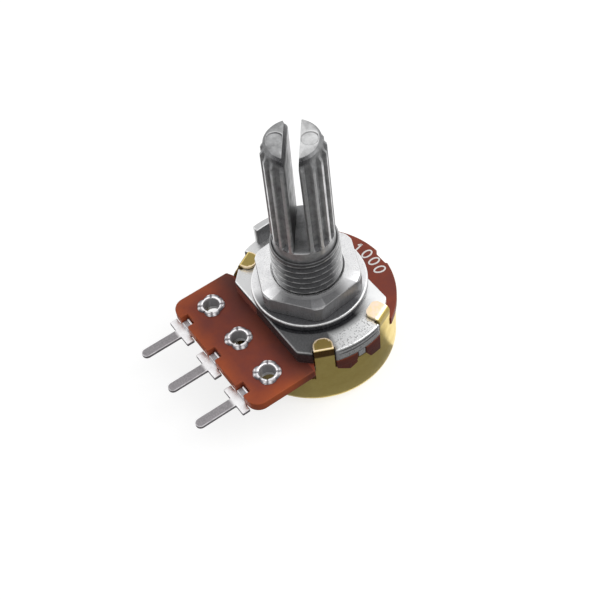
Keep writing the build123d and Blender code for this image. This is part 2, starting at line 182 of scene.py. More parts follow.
def quads(rows: int, columns: int, wrap_rows: bool, wrap_columns: bool) -> Array:
    """Corner numbers of the quads of a grid whose points are counted row by row.

    Args:
        rows: Number of rows of points.
        columns: Number of points in a row.
        wrap_rows: Whether the last row joins the first.
        wrap_columns: Whether the last column joins the first.

    Returns:
        One row of four numbers per quad, shaped (rows, columns, 4).
    """
    i, j = np.meshgrid(
        np.arange(rows if wrap_rows else rows - 1),
        np.arange(columns if wrap_columns else columns - 1),
        indexing="ij",
    )
    i2 = (i + 1) % rows
    j2 = (j + 1) % columns
    return np.stack([i * columns + j, i * columns + j2, i2 * columns + j2, i2 * columns + j], axis=-1)


def quarter(steps: int = 4) -> tuple[Array, Array]:
    """Shares of a rounded edge's radius, inwards and upwards, on a quarter circle: 1 - cos a and sin a."""
    a = np.linspace(0.0, math.pi / 2, steps)
    return 1.0 - np.cos(a), np.sin(a)


class Shell:
    """Closed surfaces gathered from grids, in millimetres, with marks per point for rubbed edges with
    painted highlights, and for painted shade.
    """

    def __init__(self) -> None:
        """Starts with no points."""
        self.points: list[Array] = []
        self.faces: list[Array] = []
        self.edges: list[Array] = []
        self.painted_shades: list[Array] = []
        self.count = 0

    def add(self, points: Array, faces: Array, edge: Array | float = 0.0, painted_shade: Array | float = 0.0) -> None:
        """Adds points and the faces between them.

        Args:
            points: Places, one row each.
            faces: Corner numbers within these points, one face per row.
            edge: Mark of each point for rubbed edges and painted highlights, from 0 on a plain face to 1.
            painted_shade: How much painted shade each point has, from 0 to 1.
        """
        points = points.reshape(-1, 3)
        self.points.append(points)
        self.faces.append(faces.reshape(-1, faces.shape[-1]) + self.count)
        for marks, value in ((self.edges, edge), (self.painted_shades, painted_shade)):
            marks.append(np.broadcast_to(np.asarray(value, float).reshape(-1), (len(points),)).copy())
        self.count += len(points)

    def grid(
        self,
        points: Array,
        wrap_rows: bool = False,
        wrap_columns: bool = True,
        edge: Array | float = 0.0,
        painted_shade: Array | float = 0.0,
    ) -> None:
        """Adds a surface given as a grid of points, (rows, columns, 3), and its marks per point or row."""
        rows, columns = points.shape[:2]
        marks = [np.asarray(value, float) for value in (edge, painted_shade)]
        marks = [np.repeat(mark[:, None], columns, axis=1) if mark.ndim == 1 else mark for mark in marks]
        self.add(points, quads(rows, columns, wrap_rows, wrap_columns), *marks)

    def fan(self, loop: Array, tip: Array, edge: float = 0.0, painted_shade: float = 0.0) -> None:
        """Closes a loop of points with triangles to one tip."""
        count = len(loop)
        ring = np.arange(count)
        faces = np.stack([ring, np.roll(ring, -1), np.full(count, count)], axis=-1)
        self.add(np.vstack([loop, tip]), faces, edge, painted_shade)

    def flat(self, loops: list[Array], z: float, painted_shade: float = 0.0) -> None:
        """Fills the flat area between an outline and its holes at one height."""
        ends = np.cumsum([len(loop) for loop in loops])
        rings = [list(range(end - len(loop), end)) for loop, end in zip(loops, ends)]
        corners = [Vector(corner) for corner in np.vstack(loops).tolist()]
        inside_but_for_holes = 2
        found = delaunay_2d_cdt(corners, [], rings, inside_but_for_holes, 1e-7)
        points = np.array([(corner.x, corner.y, z) for corner in found[0]])
        self.add(points, np.array(found[2], int), 0.0, painted_shade)

    def slab(
        self,
        outline: Array,
        bottom: float,
        top: float,
        rounding: float,
        holes: list[Array] | None = None,
        under: float | None = None,
        painted_shade: float = 0.0,
        side: float = 0.0,
        wear_and_highlight: float = 1.0,
    ) -> None:
        """Adds a flat plate with rounded edges.

        The wall is a grid: the outline moved inwards by r (1 - cos a) at the height top - r (1 - sin a), and
        the same at the bottom. The flats between the outline and the holes close it.

        Args:
            outline: Anticlockwise outline, in mm.
            bottom: Height of the lower face.
            top: Height of the upper face.
            rounding: Radius of the upper edge.
            holes: Loops of plain holes.
            under: Radius of the lower edge, the same as the upper one if left out.
            painted_shade: How much painted shade its faces have.
            side: How much painted shade its side has.
            wear_and_highlight: How strong the rubbing and painted highlight on its rounded edges are.
        """
        under = rounding if under is None else under
        inwards, upwards = quarter()
        depth = np.concatenate([under * inwards[::-1], rounding * inwards])
        height = np.concatenate([bottom + under * (1 - upwards[::-1]), top - rounding * (1 - upwards)])
        mark = np.concatenate([upwards[::-1] * 0.6, upwards])
        wall = np.stack([raised(inset(outline, d), z) for d, z in zip(depth, height)])
        dark = np.concatenate([np.full(len(upwards), side), np.linspace(side, painted_shade, len(upwards))])
        self.grid(wall, edge=wear_and_highlight * np.where(mark > 0.99, 0.0, np.sin(mark * math.pi)), painted_shade=dark)
        holes = holes or []
        self.flat([inset(outline, rounding), *holes], top, painted_shade)
        self.flat([inset(outline, under), *holes], bottom, painted_shade)
        for hole in holes:
            self.grid(np.stack([raised(hole, z) for z in (bottom, top)]))

    def darken(self, rule: Callable[[Array], Array]) -> None:
        """Raises the painted shade marks of all that has been added to what a rule of the points' places
        gives.
        """
        self.painted_shades = [np.maximum(painted_shade, rule(points)) for points, painted_shade in zip(self.points, self.painted_shades)]

    def join(self, other: "Shell") -> None:
        """Takes over all the surfaces of another shell."""
        for points, faces, edge, painted_shade in zip(other.points, other.faces, other.edges, other.painted_shades):
            self.points.append(points)
            self.faces.append(faces + self.count)
            self.edges.append(edge)
            self.painted_shades.append(painted_shade)
        self.count += other.count

    def shift(self, x: float, y: float, z: float = 0.0) -> None:
        """Moves all that has been added so far."""
        self.points = [p + np.array([x, y, z]) for p in self.points]

    def mesh(self, name: str, scale: float = MM) -> bpy.types.Mesh:
        """Writes the gathered surfaces to a mesh, welds what meets and turns its faces outwards.

        Args:
            name: Name of the mesh.
            scale: Metres per unit of the points.

        Returns:
            The mesh, smooth but for edges sharper than SHARP_ANGLE.
        """
        mesh = bpy.data.meshes.new(name)
        points = np.vstack(self.points)
        corners = np.concatenate([f.ravel() for f in self.faces])
        sizes = np.concatenate([np.full(len(f), f.shape[1]) for f in self.faces])
        mesh.vertices.add(len(points))
        mesh.vertices.foreach_set("co", points.astype(np.float32).ravel())
        mesh.loops.add(len(corners))
        mesh.loops.foreach_set("vertex_index", corners.astype(np.int32))
        mesh.polygons.add(len(sizes))
        mesh.polygons.foreach_set("loop_start", (np.cumsum(sizes) - sizes).astype(np.int32))
        for name_of_mark, values in ((EDGE, self.edges), (PAINTED_SHADE, self.painted_shades)):
            mark = mesh.attributes.new(name_of_mark, "FLOAT", "POINT")
            mark.data.foreach_set("value", np.concatenate(values).astype(np.float32))
        mesh.update(calc_edges=True)
        tidy_mesh(mesh)
        mesh.transform(Matrix.Scale(scale, 4))
        smooth(mesh)
        return mesh


def smooth(mesh: bpy.types.Mesh) -> None:
    """Shades a mesh smooth but for its level faces and its edges sharper than SHARP_ANGLE."""
    normals = np.empty(len(mesh.polygons) * 3, np.float32)
    mesh.polygons.foreach_get("normal", normals)
    mesh.polygons.foreach_set("use_smooth", np.abs(normals.reshape(-1, 3)[:, 2]) < 0.9999)
    mesh.set_sharp_from_angle(angle=SHARP_ANGLE)


def tidy_mesh(mesh: bpy.types.Mesh) -> None:
    """Merges a mesh's doubles, drops faces without area and turns the rest outwards."""
    work = bmesh.new()
    work.from_mesh(mesh)
    bmesh.ops.remove_doubles(work, verts=work.verts, dist=WELD)
    bmesh.ops.dissolve_degenerate(work, edges=work.edges, dist=WELD)
    bmesh.ops.recalc_face_normals(work, faces=work.faces)
    work.to_mesh(mesh)
    work.free()
    mesh.update()


def put_in(name: str, data: bpy.types.ID) -> bpy.types.Object:
    """Makes an object of a mesh, a camera or a lamp and puts it in the scene."""
    thing = bpy.data.objects.new(name, data)
    bpy.context.scene.collection.objects.link(thing)
    return thing


def sheet_metal(mesh: bpy.types.Mesh, thickness: float, rounding: float) -> bpy.types.Mesh:
    """Gives a bare surface in mm its thickness inwards and rounds its edges, then brings it to metres.

    Args:
        mesh: The outer surface.
        thickness: Thickness of the sheet, in mm.
        rounding: Width of the rounded edges, in mm.

    Returns:
        The finished mesh in metres.
    """
    holder = put_in("sheet_work", mesh)
    solid = holder.modifiers.new("thickness", "SOLIDIFY")
    solid.thickness = thickness
    solid.offset = -1.0
    solid.use_even_offset = True
    bevel = holder.modifiers.new("rounding", "BEVEL")
    bevel.width = rounding
    bevel.segments = 2
    bevel.limit_method = "ANGLE"
    bevel.angle_limit = math.radians(50.0)
    view = bpy.context.evaluated_depsgraph_get()
    finished = bpy.data.meshes.new_from_object(holder.evaluated_get(view))
    bpy.data.objects.remove(holder)
    tidy_mesh(finished)
    finished.transform(Matrix.Scale(MM, 4))
    smooth(finished)
    return finished


def place(
    mesh: bpy.types.Mesh, name: str, material: bpy.types.Material, body: str
) -> bpy.types.Object:
    """Makes a piece of the potentiometer from its mesh.

    Args:
        mesh: The finished mesh, in metres and in its place.
        name: Name of the piece.
        material: Its finish.
        body: The body of the frame that it rides on.

    Returns:
        The piece.
    """
    piece = put_in(name, mesh)
    mesh.materials.clear()
    mesh.materials.append(material)
    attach(piece, body)
    log.info("%s: %d faces on %s", name, len(mesh.polygons), body)
    return piece


class Graph:
    """A node tree with short calls that add and join nodes."""

    def __init__(self, tree: bpy.types.NodeTree) -> None:
        """Takes the tree to work on."""
        self.tree = tree

    def add(self, kind: str, inputs: dict | None = None, **settings: object) -> bpy.types.Node:
        """Adds a node.

        Args:
            kind: The node's type name.
            inputs: Values or sockets for its inputs, by name or number.
            settings: Values for its properties.

        Returns:
            The node.
        """
        node = self.tree.nodes.new(kind)
        for name, value in settings.items():
            setattr(node, name, value)
        for name, value in (inputs or {}).items():
            if isinstance(value, Socket):
                self.link(value, node.inputs[name])
            else:
                node.inputs[name].default_value = value
        return node

    def link(self, source: Socket, target: Socket) -> None:
        """Links an output to an input."""
        self.tree.links.new(source, target)

    def math(self, operation: str, a: object, b: object = 0.0, clamp: bool = False) -> Socket:
        """Adds a sum, product or other plain operation on two values and returns its result."""
        return self.add("ShaderNodeMath", {0: a, 1: b}, operation=operation, use_clamp=clamp).outputs[0]

    def span(self, value: object, low: object, high: object, to_low: float, to_high: float) -> Socket:
        """Maps a value from one span to another, held at the ends."""
        sockets = {"Value": value, "From Min": low, "From Max": high, "To Min": to_low, "To Max": to_high}
        return self.add("ShaderNodeMapRange", sockets).outputs[0]

    def blend(self, share: object, a: object, b: object) -> Socket:
        """Mixes two colours by a share from 0, all a, to 1, all b."""
        node = self.add("ShaderNodeMix", {0: share, 6: a, 7: b}, data_type="RGBA", clamp_factor=True)
        return node.outputs[2]

    def noise(self, where: object, scale: object, detail: float, roughness: float) -> Socket:
        """Adds a noise texture and returns its value."""
        inputs = {"Vector": where, "Scale": scale, "Detail": detail, "Roughness": roughness}
        return self.add("ShaderNodeTexNoise", inputs).outputs[0]

    def group(self, effect: "Effect", inputs: dict[str, object]) -> dict[str, Socket]:
        """Places a shared node group with its own values and returns its outputs by name."""
        return self.add("ShaderNodeGroup", inputs, node_tree=bpy.data.node_groups[effect.value]).outputs

    def seen_directly(self) -> Socket:
        """Adds the mask that is 1 for rays from the camera, a mirror or glass, and 0 for all other light."""
        path = self.add("ShaderNodeLightPath").outputs
        seen = self.math("MAXIMUM", path["Is Camera Ray"], path["Is Glossy Ray"])
        return self.math("MAXIMUM", seen, path["Is Transmission Ray"])


def new_material(name: str) -> tuple[bpy.types.Material, Graph]:
    """Makes a material with nodes, and the graph that works on them."""
    material = bpy.data.materials.new(name)
    material.use_nodes = True
    return material, Graph(material.node_tree)


class Effect(Enum):
    """The node groups that several finishes share."""

    GRAIN = "cast_grain"
    WEAR_HIGHLIGHT_AND_SHADE = "wear_highlight_and_shade"
    LINES = "tool_lines"
    ZONE = "dark_zone"
    TONGUE = "tongue_glow_and_plate_shadow"

    def start(self, inputs: dict[str, float], outputs: tuple[str, ...]) -> tuple[Graph, dict, dict]:
        """Starts the effect's node group: a vector input, number inputs and number outputs.

        Args:
            inputs: Starting value of each number input, by its name.
            outputs: Names of the outputs.

        Returns:
            The group's graph, the sockets that bring its inputs and those that take its outputs.
        """
        tree = bpy.data.node_groups.new(self.value, "ShaderNodeTree")
        tree.interface.new_socket("Vector", in_out="INPUT", socket_type="NodeSocketVector")
        for label, value in inputs.items():
            socket = tree.interface.new_socket(label, in_out="INPUT", socket_type="NodeSocketFloat")
            socket.default_value = value
        for label in outputs:
            tree.interface.new_socket(label, in_out="OUTPUT", socket_type="NodeSocketFloat")
        graph = Graph(tree)
        return graph, graph.add("NodeGroupInput").outputs, graph.add("NodeGroupOutput").inputs


def build_effects() -> None:
    """Builds the shared node groups once: grain and mottling, rubbed edges with painted highlights and
    painted shade, tool lines, zones, and the tongue's painted glow and the plate's painted shadow.
    """
    graph, ask, give = Effect.GRAIN.start({"Grain": 6000.0, "Mottle": 500.0}, ("Height", "Mottle", "Specks"))
    fine = graph.noise(ask["Vector"], ask["Grain"], 3.0, 0.6)
    broad = graph.noise(ask["Vector"], ask["Mottle"], 4.0, 0.65)
    graph.link(fine, give["Height"])
    graph.link(graph.span(fine, 0.53, 0.6, 0.0, 1.0), give["Specks"])
    graph.link(graph.span(broad, 0.36, 0.66, 0.0, 1.0), give["Mottle"])

    # Rubbed edges and painted highlights from the edge mark, broken up by noise; painted shade from the
    # second mark and from zones, which also takes metal away.
    graph, ask, give = Effect.WEAR_HIGHLIGHT_AND_SHADE.start({"Break Up": 2500.0, "More Painted Shade And Specks": 0.0}, ("Wear And Highlight", "Painted Shade And Specks", "Metal"))
    mark = graph.add("ShaderNodeAttribute", attribute_name=EDGE).outputs["Fac"]
    gaps = graph.span(graph.noise(ask["Vector"], ask["Break Up"], 2.0, 0.5), 0.35, 0.6, 0.6, 1.0)
    wear_and_highlight = graph.math("MULTIPLY", mark, gaps, clamp=True)
    shown = graph.span(ask["More Painted Shade And Specks"], 0.0, 1.0, 1.0, 0.5)
    graph.link(graph.math("MULTIPLY", wear_and_highlight, shown), give["Wear And Highlight"])
    marked = graph.add("ShaderNodeAttribute", attribute_name=PAINTED_SHADE).outputs["Fac"]
    painted_shade = graph.math("MAXIMUM", marked, ask["More Painted Shade And Specks"], clamp=True)
    graph.link(painted_shade, give["Painted Shade And Specks"])
    graph.link(graph.span(painted_shade, 0.0, 1.0, 1.0, 0.15), give["Metal"])

    graph, ask, give = Effect.LINES.start({"Lines": 9000.0}, ("Height",))
    graph.link(graph.noise(ask["Vector"], ask["Lines"], 2.0, 0.7), give["Height"])
    build_zone_effect()
    build_tongue_effect()


def build_tongue_effect() -> None:
    """Builds the group that finds the pale rim of the board's tongue, where a glow of light through the
    board is painted, and the dark strip beside the plate, where its shadow is painted.

    The rim is the greater of two slopes, which rise from 0 to 1 over the rim's width towards the tongue's
    sides and its end. The dark strip rises from 0 to 1 between two distances along -Y.
    """
    inputs = {"Half": 0.0076, "End": 0.01185, "Width": 0.0016, "Strip Start": 0.0078, "Strip End": 0.0057}
    graph, ask, give = Effect.TONGUE.start(inputs, ("Glow Rim", "Strip"))
    place_of = graph.add("ShaderNodeSeparateXYZ", {0: ask["Vector"]}).outputs
    across = graph.math("ABSOLUTE", place_of["X"])
    down = graph.math("MULTIPLY", place_of["Y"], -1.0)
    side = graph.span(across, graph.math("SUBTRACT", ask["Half"], ask["Width"]), ask["Half"], 0.0, 1.0)
    end = graph.span(down, graph.math("SUBTRACT", ask["End"], ask["Width"]), ask["End"], 0.0, 1.0)
    on_tongue = graph.span(down, 0.0045, 0.0065, 0.0, 1.0)
    rim = graph.math("MAXIMUM", side, end)
    graph.link(graph.math("MULTIPLY", rim, on_tongue), give["Glow Rim"])
    strip = graph.span(down, ask["Strip Start"], ask["Strip End"], 0.0, 1.0)
    beside = graph.math("GREATER_THAN", down, 0.005)
    graph.link(graph.math("MULTIPLY", strip, beside), give["Strip"])


def build_zone_effect() -> None:
    """Builds the group that masks a part of the surface between two angles, two radii and two heights.

    The mask is a product: 1 where the angle from the zone's middle is under its half width less the soft
    part, times 1 between the radii, times 1 between the heights, and it fades to 0 across each soft end.
    """
    labels = ("Angle", "Half", "Soft", "Inner", "Outer", "Fade", "Low", "High", "Strength")
    graph, ask, give = Effect.ZONE.start(dict.fromkeys(labels, 0.0), ("Mask",))
    place_of = graph.add("ShaderNodeSeparateXYZ", {0: ask["Vector"]}).outputs
    angle = graph.math("ARCTAN2", place_of["Y"], place_of["X"])
    off = graph.math("ABSOLUTE", graph.math("SUBTRACT", angle, ask["Angle"]))
    off = graph.math("MINIMUM", off, graph.math("SUBTRACT", TURN, off))
    start = graph.math("SUBTRACT", ask["Half"], ask["Soft"])
    mask = graph.span(off, start, ask["Half"], 1.0, 0.0)
    flat = graph.add("ShaderNodeVectorMath", {0: ask["Vector"], 1: (1.0, 1.0, 0.0)}, operation="MULTIPLY")
    radius = graph.add("ShaderNodeVectorMath", {0: flat.outputs[0]}, operation="LENGTH").outputs["Value"]
    inside = graph.span(radius, graph.math("SUBTRACT", ask["Outer"], ask["Fade"]), ask["Outer"], 1.0, 0.0)
    outside = graph.math("GREATER_THAN", radius, ask["Inner"])
    above = graph.math("GREATER_THAN", place_of["Z"], ask["Low"])
    below = graph.math("LESS_THAN", place_of["Z"], ask["High"])
    for share in (inside, outside, above, below, ask["Strength"]):
        mask = graph.math("MULTIPLY", mask, share)
    graph.link(mask, give["Mask"])


@dataclass(frozen=True)
class Zone:
    """A part of a surface round the axis, in degrees and mm, that holds painted shade, painted reflections
    and dark specks.

    angle and half are the direction of its middle and half its width, inner and outer its radii, low and
    high its heights. It fades over soft degrees at its sides and over fade mm at its outer radius.
    """

    angle: float
    half: float
    inner: float
    outer: float
    strength: float
    soft: float = 10.0
    fade: float = 0.02
    low: float = -50.0
    high: float = 50.0

    def mask(self, graph: Graph, where: Socket) -> Socket:
        """Adds the zone's mask to a material's graph and returns it."""
        angles = {"Angle": self.angle, "Half": self.half, "Soft": self.soft}
        lengths = {"Inner": self.inner, "Outer": self.outer, "Fade": self.fade}
        lengths |= {"Low": self.low, "High": self.high}
        values = {"Vector": where, "Strength": self.strength}
        values |= {label: math.radians(value) for label, value in angles.items()}
        values |= {label: value * MM for label, value in lengths.items()}
        return graph.group(Effect.ZONE, values)["Mask"]


class Lay(Enum):
    """Direction of a metal's fine tool lines."""

    NONE = (1.0, 1.0, 1.0)
    UPRIGHT = (1.0, 1.0, 0.04)


@dataclass(frozen=True, kw_only=True)
class Finish:
    """What every finish has: a colour mottled with a shade, and a grain.

    wear_and_highlight is the colour of rubbed edges and painted highlights, painted_shade_colour that of
    painted shade, and roughness has its two ends.
    """

    name: str
    colour: Colour
    shade: Colour
    wear_and_highlight: Colour
    roughness: tuple[float, float]
    painted_shade_colour: Colour = (0.03, 0.014, 0.014)
    grain_per_mm: float = 6.0
    mottle_per_mm: float = 0.35
    bump_mm: float = 0.004
    specular: float = 0.4

    def begin(self) -> tuple[bpy.types.Material, Graph, Socket, dict[str, Socket]]:
        """Starts the material.

        Returns:
            The material, its graph, its Object coordinates and the grain's outputs.
        """
        material, graph = new_material(self.name)
        where = graph.add("ShaderNodeTexCoord").outputs["Object"]
        scales = {"Grain": self.grain_per_mm / MM, "Mottle": self.mottle_per_mm / MM}
        return material, graph, where, graph.group(Effect.GRAIN, {"Vector": where} | scales)

    def end(self, graph: Graph, height: Socket, sockets: dict[str, Socket]) -> None:
        """Adds the bump and joins everything to the shader.

        Args:
            graph: The material's graph.
            height: Height of the fine relief, from 0 to 1.
            sockets: What goes to the shader's inputs, by their names.
        """
        inputs = {"Height": height, "Strength": 1.0, "Distance": self.bump_mm * MM}
        bump = graph.add("ShaderNodeBump", inputs).outputs[0]
        shader = graph.tree.nodes["Principled BSDF"].inputs
        shader["Specular IOR Level"].default_value = self.specular
        for label, socket in (sockets | {"Normal": bump}).items():
            graph.link(socket, shader[label])


@dataclass(frozen=True, kw_only=True)
class MetalFinish(Finish):
    """A bare or plated metal, with grain, mottling, fine tool lines, rubbed edges, painted highlights and
    painted shade.

    Painted shade runs from painted_shade_colour to dark_spread times it. specks is the share of dark specks
    inside specked, and zones hold painted shade and painted reflections of dark things all over.
    board_reflection_zone is the one place that has the colour board_reflection, a painted reflection of the
    board, and little metal.
    """

    grain_per_mm: float = 8.0
    mottle_per_mm: float = 0.8
    bump_mm: float = 0.006
    lay: Lay = Lay.NONE
    lines_per_mm: float = 12.0
    lines_share: float = 0.0
    specks: float = 0.0
    dark_spread: float = 2.2
    specked: Zone | None = None
    specular: float = 0.12
    zones: tuple[Zone, ...] = ()
    # The board's red-brown reflection, painted on the plate's front wall.
    board_reflection: Colour = (0.30, 0.088, 0.062)
    board_reflection_zone: Zone | None = None

    def material(self) -> bpy.types.Material:
        """Builds the material.

        Returns:
            The material, on Object coordinates.
        """
        material, graph, where, grain = self.begin()
        more = graph.math("MULTIPLY", grain["Specks"], self.specks)
        if self.specked is not None:
            more = graph.math("MULTIPLY", more, self.specked.mask(graph, where))
        # Zones add painted shade and painted reflections of dark things.
        for zone in self.zones:
            more = graph.math("MAXIMUM", more, zone.mask(graph, where))
        wear_light_shade = graph.group(Effect.WEAR_HIGHLIGHT_AND_SHADE, {"Vector": where, "Break Up": 2.5 / MM, "More Painted Shade And Specks": more})
        height = grain["Height"]
        if self.lines_share > 0.0:
            scale = {"Vector": where, "Scale": self.lay.value}
            turned = graph.add("ShaderNodeMapping", scale, vector_type="POINT").outputs[0]
            lines = graph.group(Effect.LINES, {"Vector": turned, "Lines": self.lines_per_mm / MM})
            kept = graph.math("MULTIPLY", height, 1.0 - self.lines_share)
            height = graph.math("ADD", kept, graph.math("MULTIPLY", lines["Height"], self.lines_share))
        metal = wear_light_shade["Metal"]
        base = graph.blend(grain["Mottle"], (*self.colour, 1.0), (*self.shade, 1.0))
        # The board's painted reflection, with most of the metal taken away there.
        if self.board_reflection_zone is not None:
            mask = self.board_reflection_zone.mask(graph, where)
            base = graph.blend(mask, base, (*self.board_reflection, 1.0))
            metal = graph.math("MULTIPLY", metal, graph.span(mask, 0.0, 1.0, 1.0, 0.05))
        # Painted shade: a dark colour, lighter on the grain's high points; rubbed edges and painted
        # highlights go on top.
        lighter = tuple(min(1.0, self.dark_spread * share) for share in self.painted_shade_colour)
        dark = graph.blend(graph.span(height, 0.42, 0.62, 0.0, 1.0), (*self.painted_shade_colour, 1.0), (*lighter, 1.0))
        base = graph.blend(wear_light_shade["Painted Shade And Specks"], base, dark)
        base = graph.blend(wear_light_shade["Wear And Highlight"], base, (*self.wear_and_highlight, 1.0))
        rough = graph.span(grain["Mottle"], 0.0, 1.0, *self.roughness)
        self.end(graph, height, {"Metallic": metal, "Base Color": base, "Roughness": rough})
        return material


@dataclass(frozen=True, kw_only=True)
class CoatFinish(Finish):
    """A finish that isn't metal: phenolic board, print or moulded plastic.

    rim is the colour of a painted glow of light through the board, towards the rim of its tongue, left out
    where there is no tongue.
    """

    rim: Colour | None = None

    def material(self) -> bpy.types.Material:
        """Builds the material.

        Returns:
            The material, on Object coordinates.
        """
        material, graph, where, grain = self.begin()
        wear_light_shade = graph.group(Effect.WEAR_HIGHLIGHT_AND_SHADE, {"Vector": where, "Break Up": 1.2 / MM})
        base = graph.blend(grain["Mottle"], (*self.colour, 1.0), (*self.shade, 1.0))
        # A painted glow of light through the tongue's thin rim, and the plate's painted shadow on the strip
        # beside it.
        if self.rim is not None:
            glow_and_shadow = graph.group(Effect.TONGUE, {"Vector": where})
            pale = graph.math("MULTIPLY", glow_and_shadow["Glow Rim"], graph.span(grain["Mottle"], 0.0, 1.0, 0.9, 0.5))
            base = graph.blend(pale, base, (*self.rim, 1.0))
            base = graph.blend(graph.math("MULTIPLY", glow_and_shadow["Strip"], 0.55), base, (*self.painted_shade_colour, 1.0))
        # Painted shade from the marks, then rubbed edges and painted highlights.
        base = graph.blend(wear_light_shade["Painted Shade And Specks"], base, (*self.painted_shade_colour, 1.0))
        base = graph.blend(wear_light_shade["Wear And Highlight"], base, (*self.wear_and_highlight, 1.0))
        rough = graph.span(grain["Height"], 0.3, 0.7, *self.roughness)
        self.end(graph, grain["Height"], {"Base Color": base, "Roughness": rough})
        return material


CAST_ZINC = MetalFinish(
    name="cast_zinc",
    colour=(0.93, 0.935, 0.935),
    shade=(0.86, 0.865, 0.87),
    wear_and_highlight=(0.95, 0.95, 0.95),
    painted_shade_colour=(0.017, 0.017, 0.019),
    roughness=(0.26, 0.38),
    grain_per_mm=5.5,
    bump_mm=0.016,
    specks=0.66,
    specked=Zone(-1.0, 26.0, 5.2, 9.0, 1.0, soft=6.0),
    # Painted shade, painted reflections of dark things and the washer's painted shadow; the last three zones
    # are dark bands on the right lug's wall.
    zones=(
        Zone(-6.0, 28.0, 5.2, 9.0, 0.24, soft=16.0),
        Zone(-150.0, 52.0, 5.2, 9.0, 0.26, soft=6.0),
        Zone(-60.0, 46.0, 5.2, 12.0, 0.92, soft=6.0),
        Zone(-40.0, 78.0, 5.2, 7.0, 1.0, soft=26.0, fade=1.0, low=-0.5),
        Zone(-28.8, 100.0, 3.0, 3.6, 0.95, soft=60.0, low=1.0, high=7.2),
        Zone(-97.0, 66.0, 4.5, 12.0, 0.95, soft=3.0, low=-0.42, high=-0.1),
        Zone(-1.0, 22.0, 7.9, 8.6, 0.9, low=-0.36, high=-0.2),
        Zone(-1.0, 22.0, 7.9, 8.6, 0.9, low=-0.86, high=-0.68),
        Zone(-1.0, 22.0, 7.9, 8.6, 0.7, low=-1.7, high=-1.5),
    ),
    # The board's painted reflection on the lower front wall.
    board_reflection_zone=Zone(-97.0, 66.0, 4.5, 12.0, 1.0, soft=3.0, low=-1.75, high=-0.3),
)
SHAFT_ZINC = MetalFinish(
    name="shaft_zinc",
    colour=(0.66, 0.665, 0.67),
    shade=(0.36, 0.362, 0.365),
    wear_and_highlight=(0.80, 0.80, 0.80),
    painted_shade_colour=(0.032, 0.032, 0.034),
    roughness=(0.36, 0.50),
    mottle_per_mm=0.9,
    bump_mm=0.008,
    lay=Lay.UPRIGHT,
    lines_share=0.5,
    dark_spread=3.2,
)
NUT_PLATE = MetalFinish(
    name="nut_plating",
    colour=(0.86, 0.86, 0.865),
    shade=(0.76, 0.76, 0.77),
    wear_and_highlight=(0.95, 0.95, 0.95),
    painted_shade_colour=(0.034, 0.034, 0.037),
    roughness=(0.26, 0.38),
    bump_mm=0.007,
    lay=Lay.UPRIGHT,
    lines_share=0.6,
    specks=0.15,
    dark_spread=2.6,
    # Painted shade and painted reflections of the dark shaft: the nut's front side, its top face's front,
    # the washer's front.
    zones=(
        Zone(-28.8, 110.0, 4.4, 6.0, 0.87, low=1.08, high=2.86),
        Zone(-28.8, 58.0, 3.7, 6.0, 0.45, soft=26.0, low=2.86, high=3.2),
        Zone(-28.8, 58.0, 3.9, 6.0, 0.65, soft=26.0, low=2.86, high=3.2),
        Zone(-28.8, 58.0, 4.1, 6.0, 0.8, soft=26.0, low=2.86, high=3.2),
        Zone(-34.0, 80.0, 4.0, 5.68, 0.95, soft=24.0, fade=0.1, low=0.3, high=0.92),
    ),
)
TINNED = MetalFinish(
    name="tinned_brass",
    colour=(0.88, 0.87, 0.88),
    shade=(0.78, 0.77, 0.78),
    wear_and_highlight=(0.95, 0.93, 0.95),
    painted_shade_colour=(0.085, 0.074, 0.082),
    roughness=(0.36, 0.48),
    bump_mm=0.004,
)
CAN_PLATE = MetalFinish(
    name="can_plating",
    colour=(0.99, 0.79, 0.26),
    shade=(0.90, 0.70, 0.22),
    wear_and_highlight=(1.0, 0.82, 0.68),
    painted_shade_colour=(0.05, 0.026, 0.005),
    roughness=(0.30, 0.40),
    bump_mm=0.004,
    lay=Lay.UPRIGHT,
    lines_share=0.4,
    # Painted shade on the can's side towards the front and left, below the board.
    zones=(Zone(-110.0, 84.0, 7.0, 9.0, 0.9, soft=52.0, high=-1.0),),
)
STEEL = MetalFinish(
    name="clip_steel",
    colour=(0.45, 0.45, 0.46),
    shade=(0.38, 0.38, 0.39),
    wear_and_highlight=(0.7, 0.7, 0.7),
    painted_shade_colour=(0.2, 0.2, 0.2),
    roughness=(0.3, 0.42),
)
SPRING = MetalFinish(
    name="spring_brass",
    colour=(0.62, 0.50, 0.26),
    shade=(0.55, 0.44, 0.22),
    wear_and_highlight=(0.85, 0.75, 0.5),
    painted_shade_colour=(0.3, 0.2, 0.1),
    roughness=(0.25, 0.35),
)
SILVER = MetalFinish(
    name="silver_print",
    colour=(0.70, 0.70, 0.68),
    shade=(0.6, 0.6, 0.58),
    wear_and_highlight=(0.8, 0.8, 0.8),
    painted_shade_colour=(0.4, 0.4, 0.4),
    roughness=(0.5, 0.62),
)
PHENOLIC = CoatFinish(
    name="phenolic_board",
    colour=(0.235, 0.048, 0.024),
    shade=(0.175, 0.040, 0.029),
    # Orange for rubbed edges and their painted highlights; rim is a painted glow of light through the
    # tongue's edge.
    wear_and_highlight=(0.42, 0.11, 0.03),
    roughness=(0.38, 0.5),
    specular=0.2,
    rim=(0.40, 0.085, 0.024),
)
CARBON = CoatFinish(
    name="carbon_print",
    colour=(0.02, 0.02, 0.022),
    shade=(0.015, 0.015, 0.016),
    wear_and_highlight=(0.03, 0.03, 0.03),
    roughness=(0.55, 0.7),
)
CARRIER = CoatFinish(
    name="moulded_carrier",
    colour=(0.62, 0.60, 0.54),
    shade=(0.58, 0.56, 0.50),
    wear_and_highlight=(0.66, 0.64, 0.6),
    roughness=(0.4, 0.5),
)
PRINT_INK = CoatFinish(
    name="white_ink",
    colour=(0.80, 0.78, 0.76),
    shade=(0.74, 0.72, 0.70),
    wear_and_highlight=(0.8, 0.8, 0.8),
    roughness=(0.45, 0.6),
)


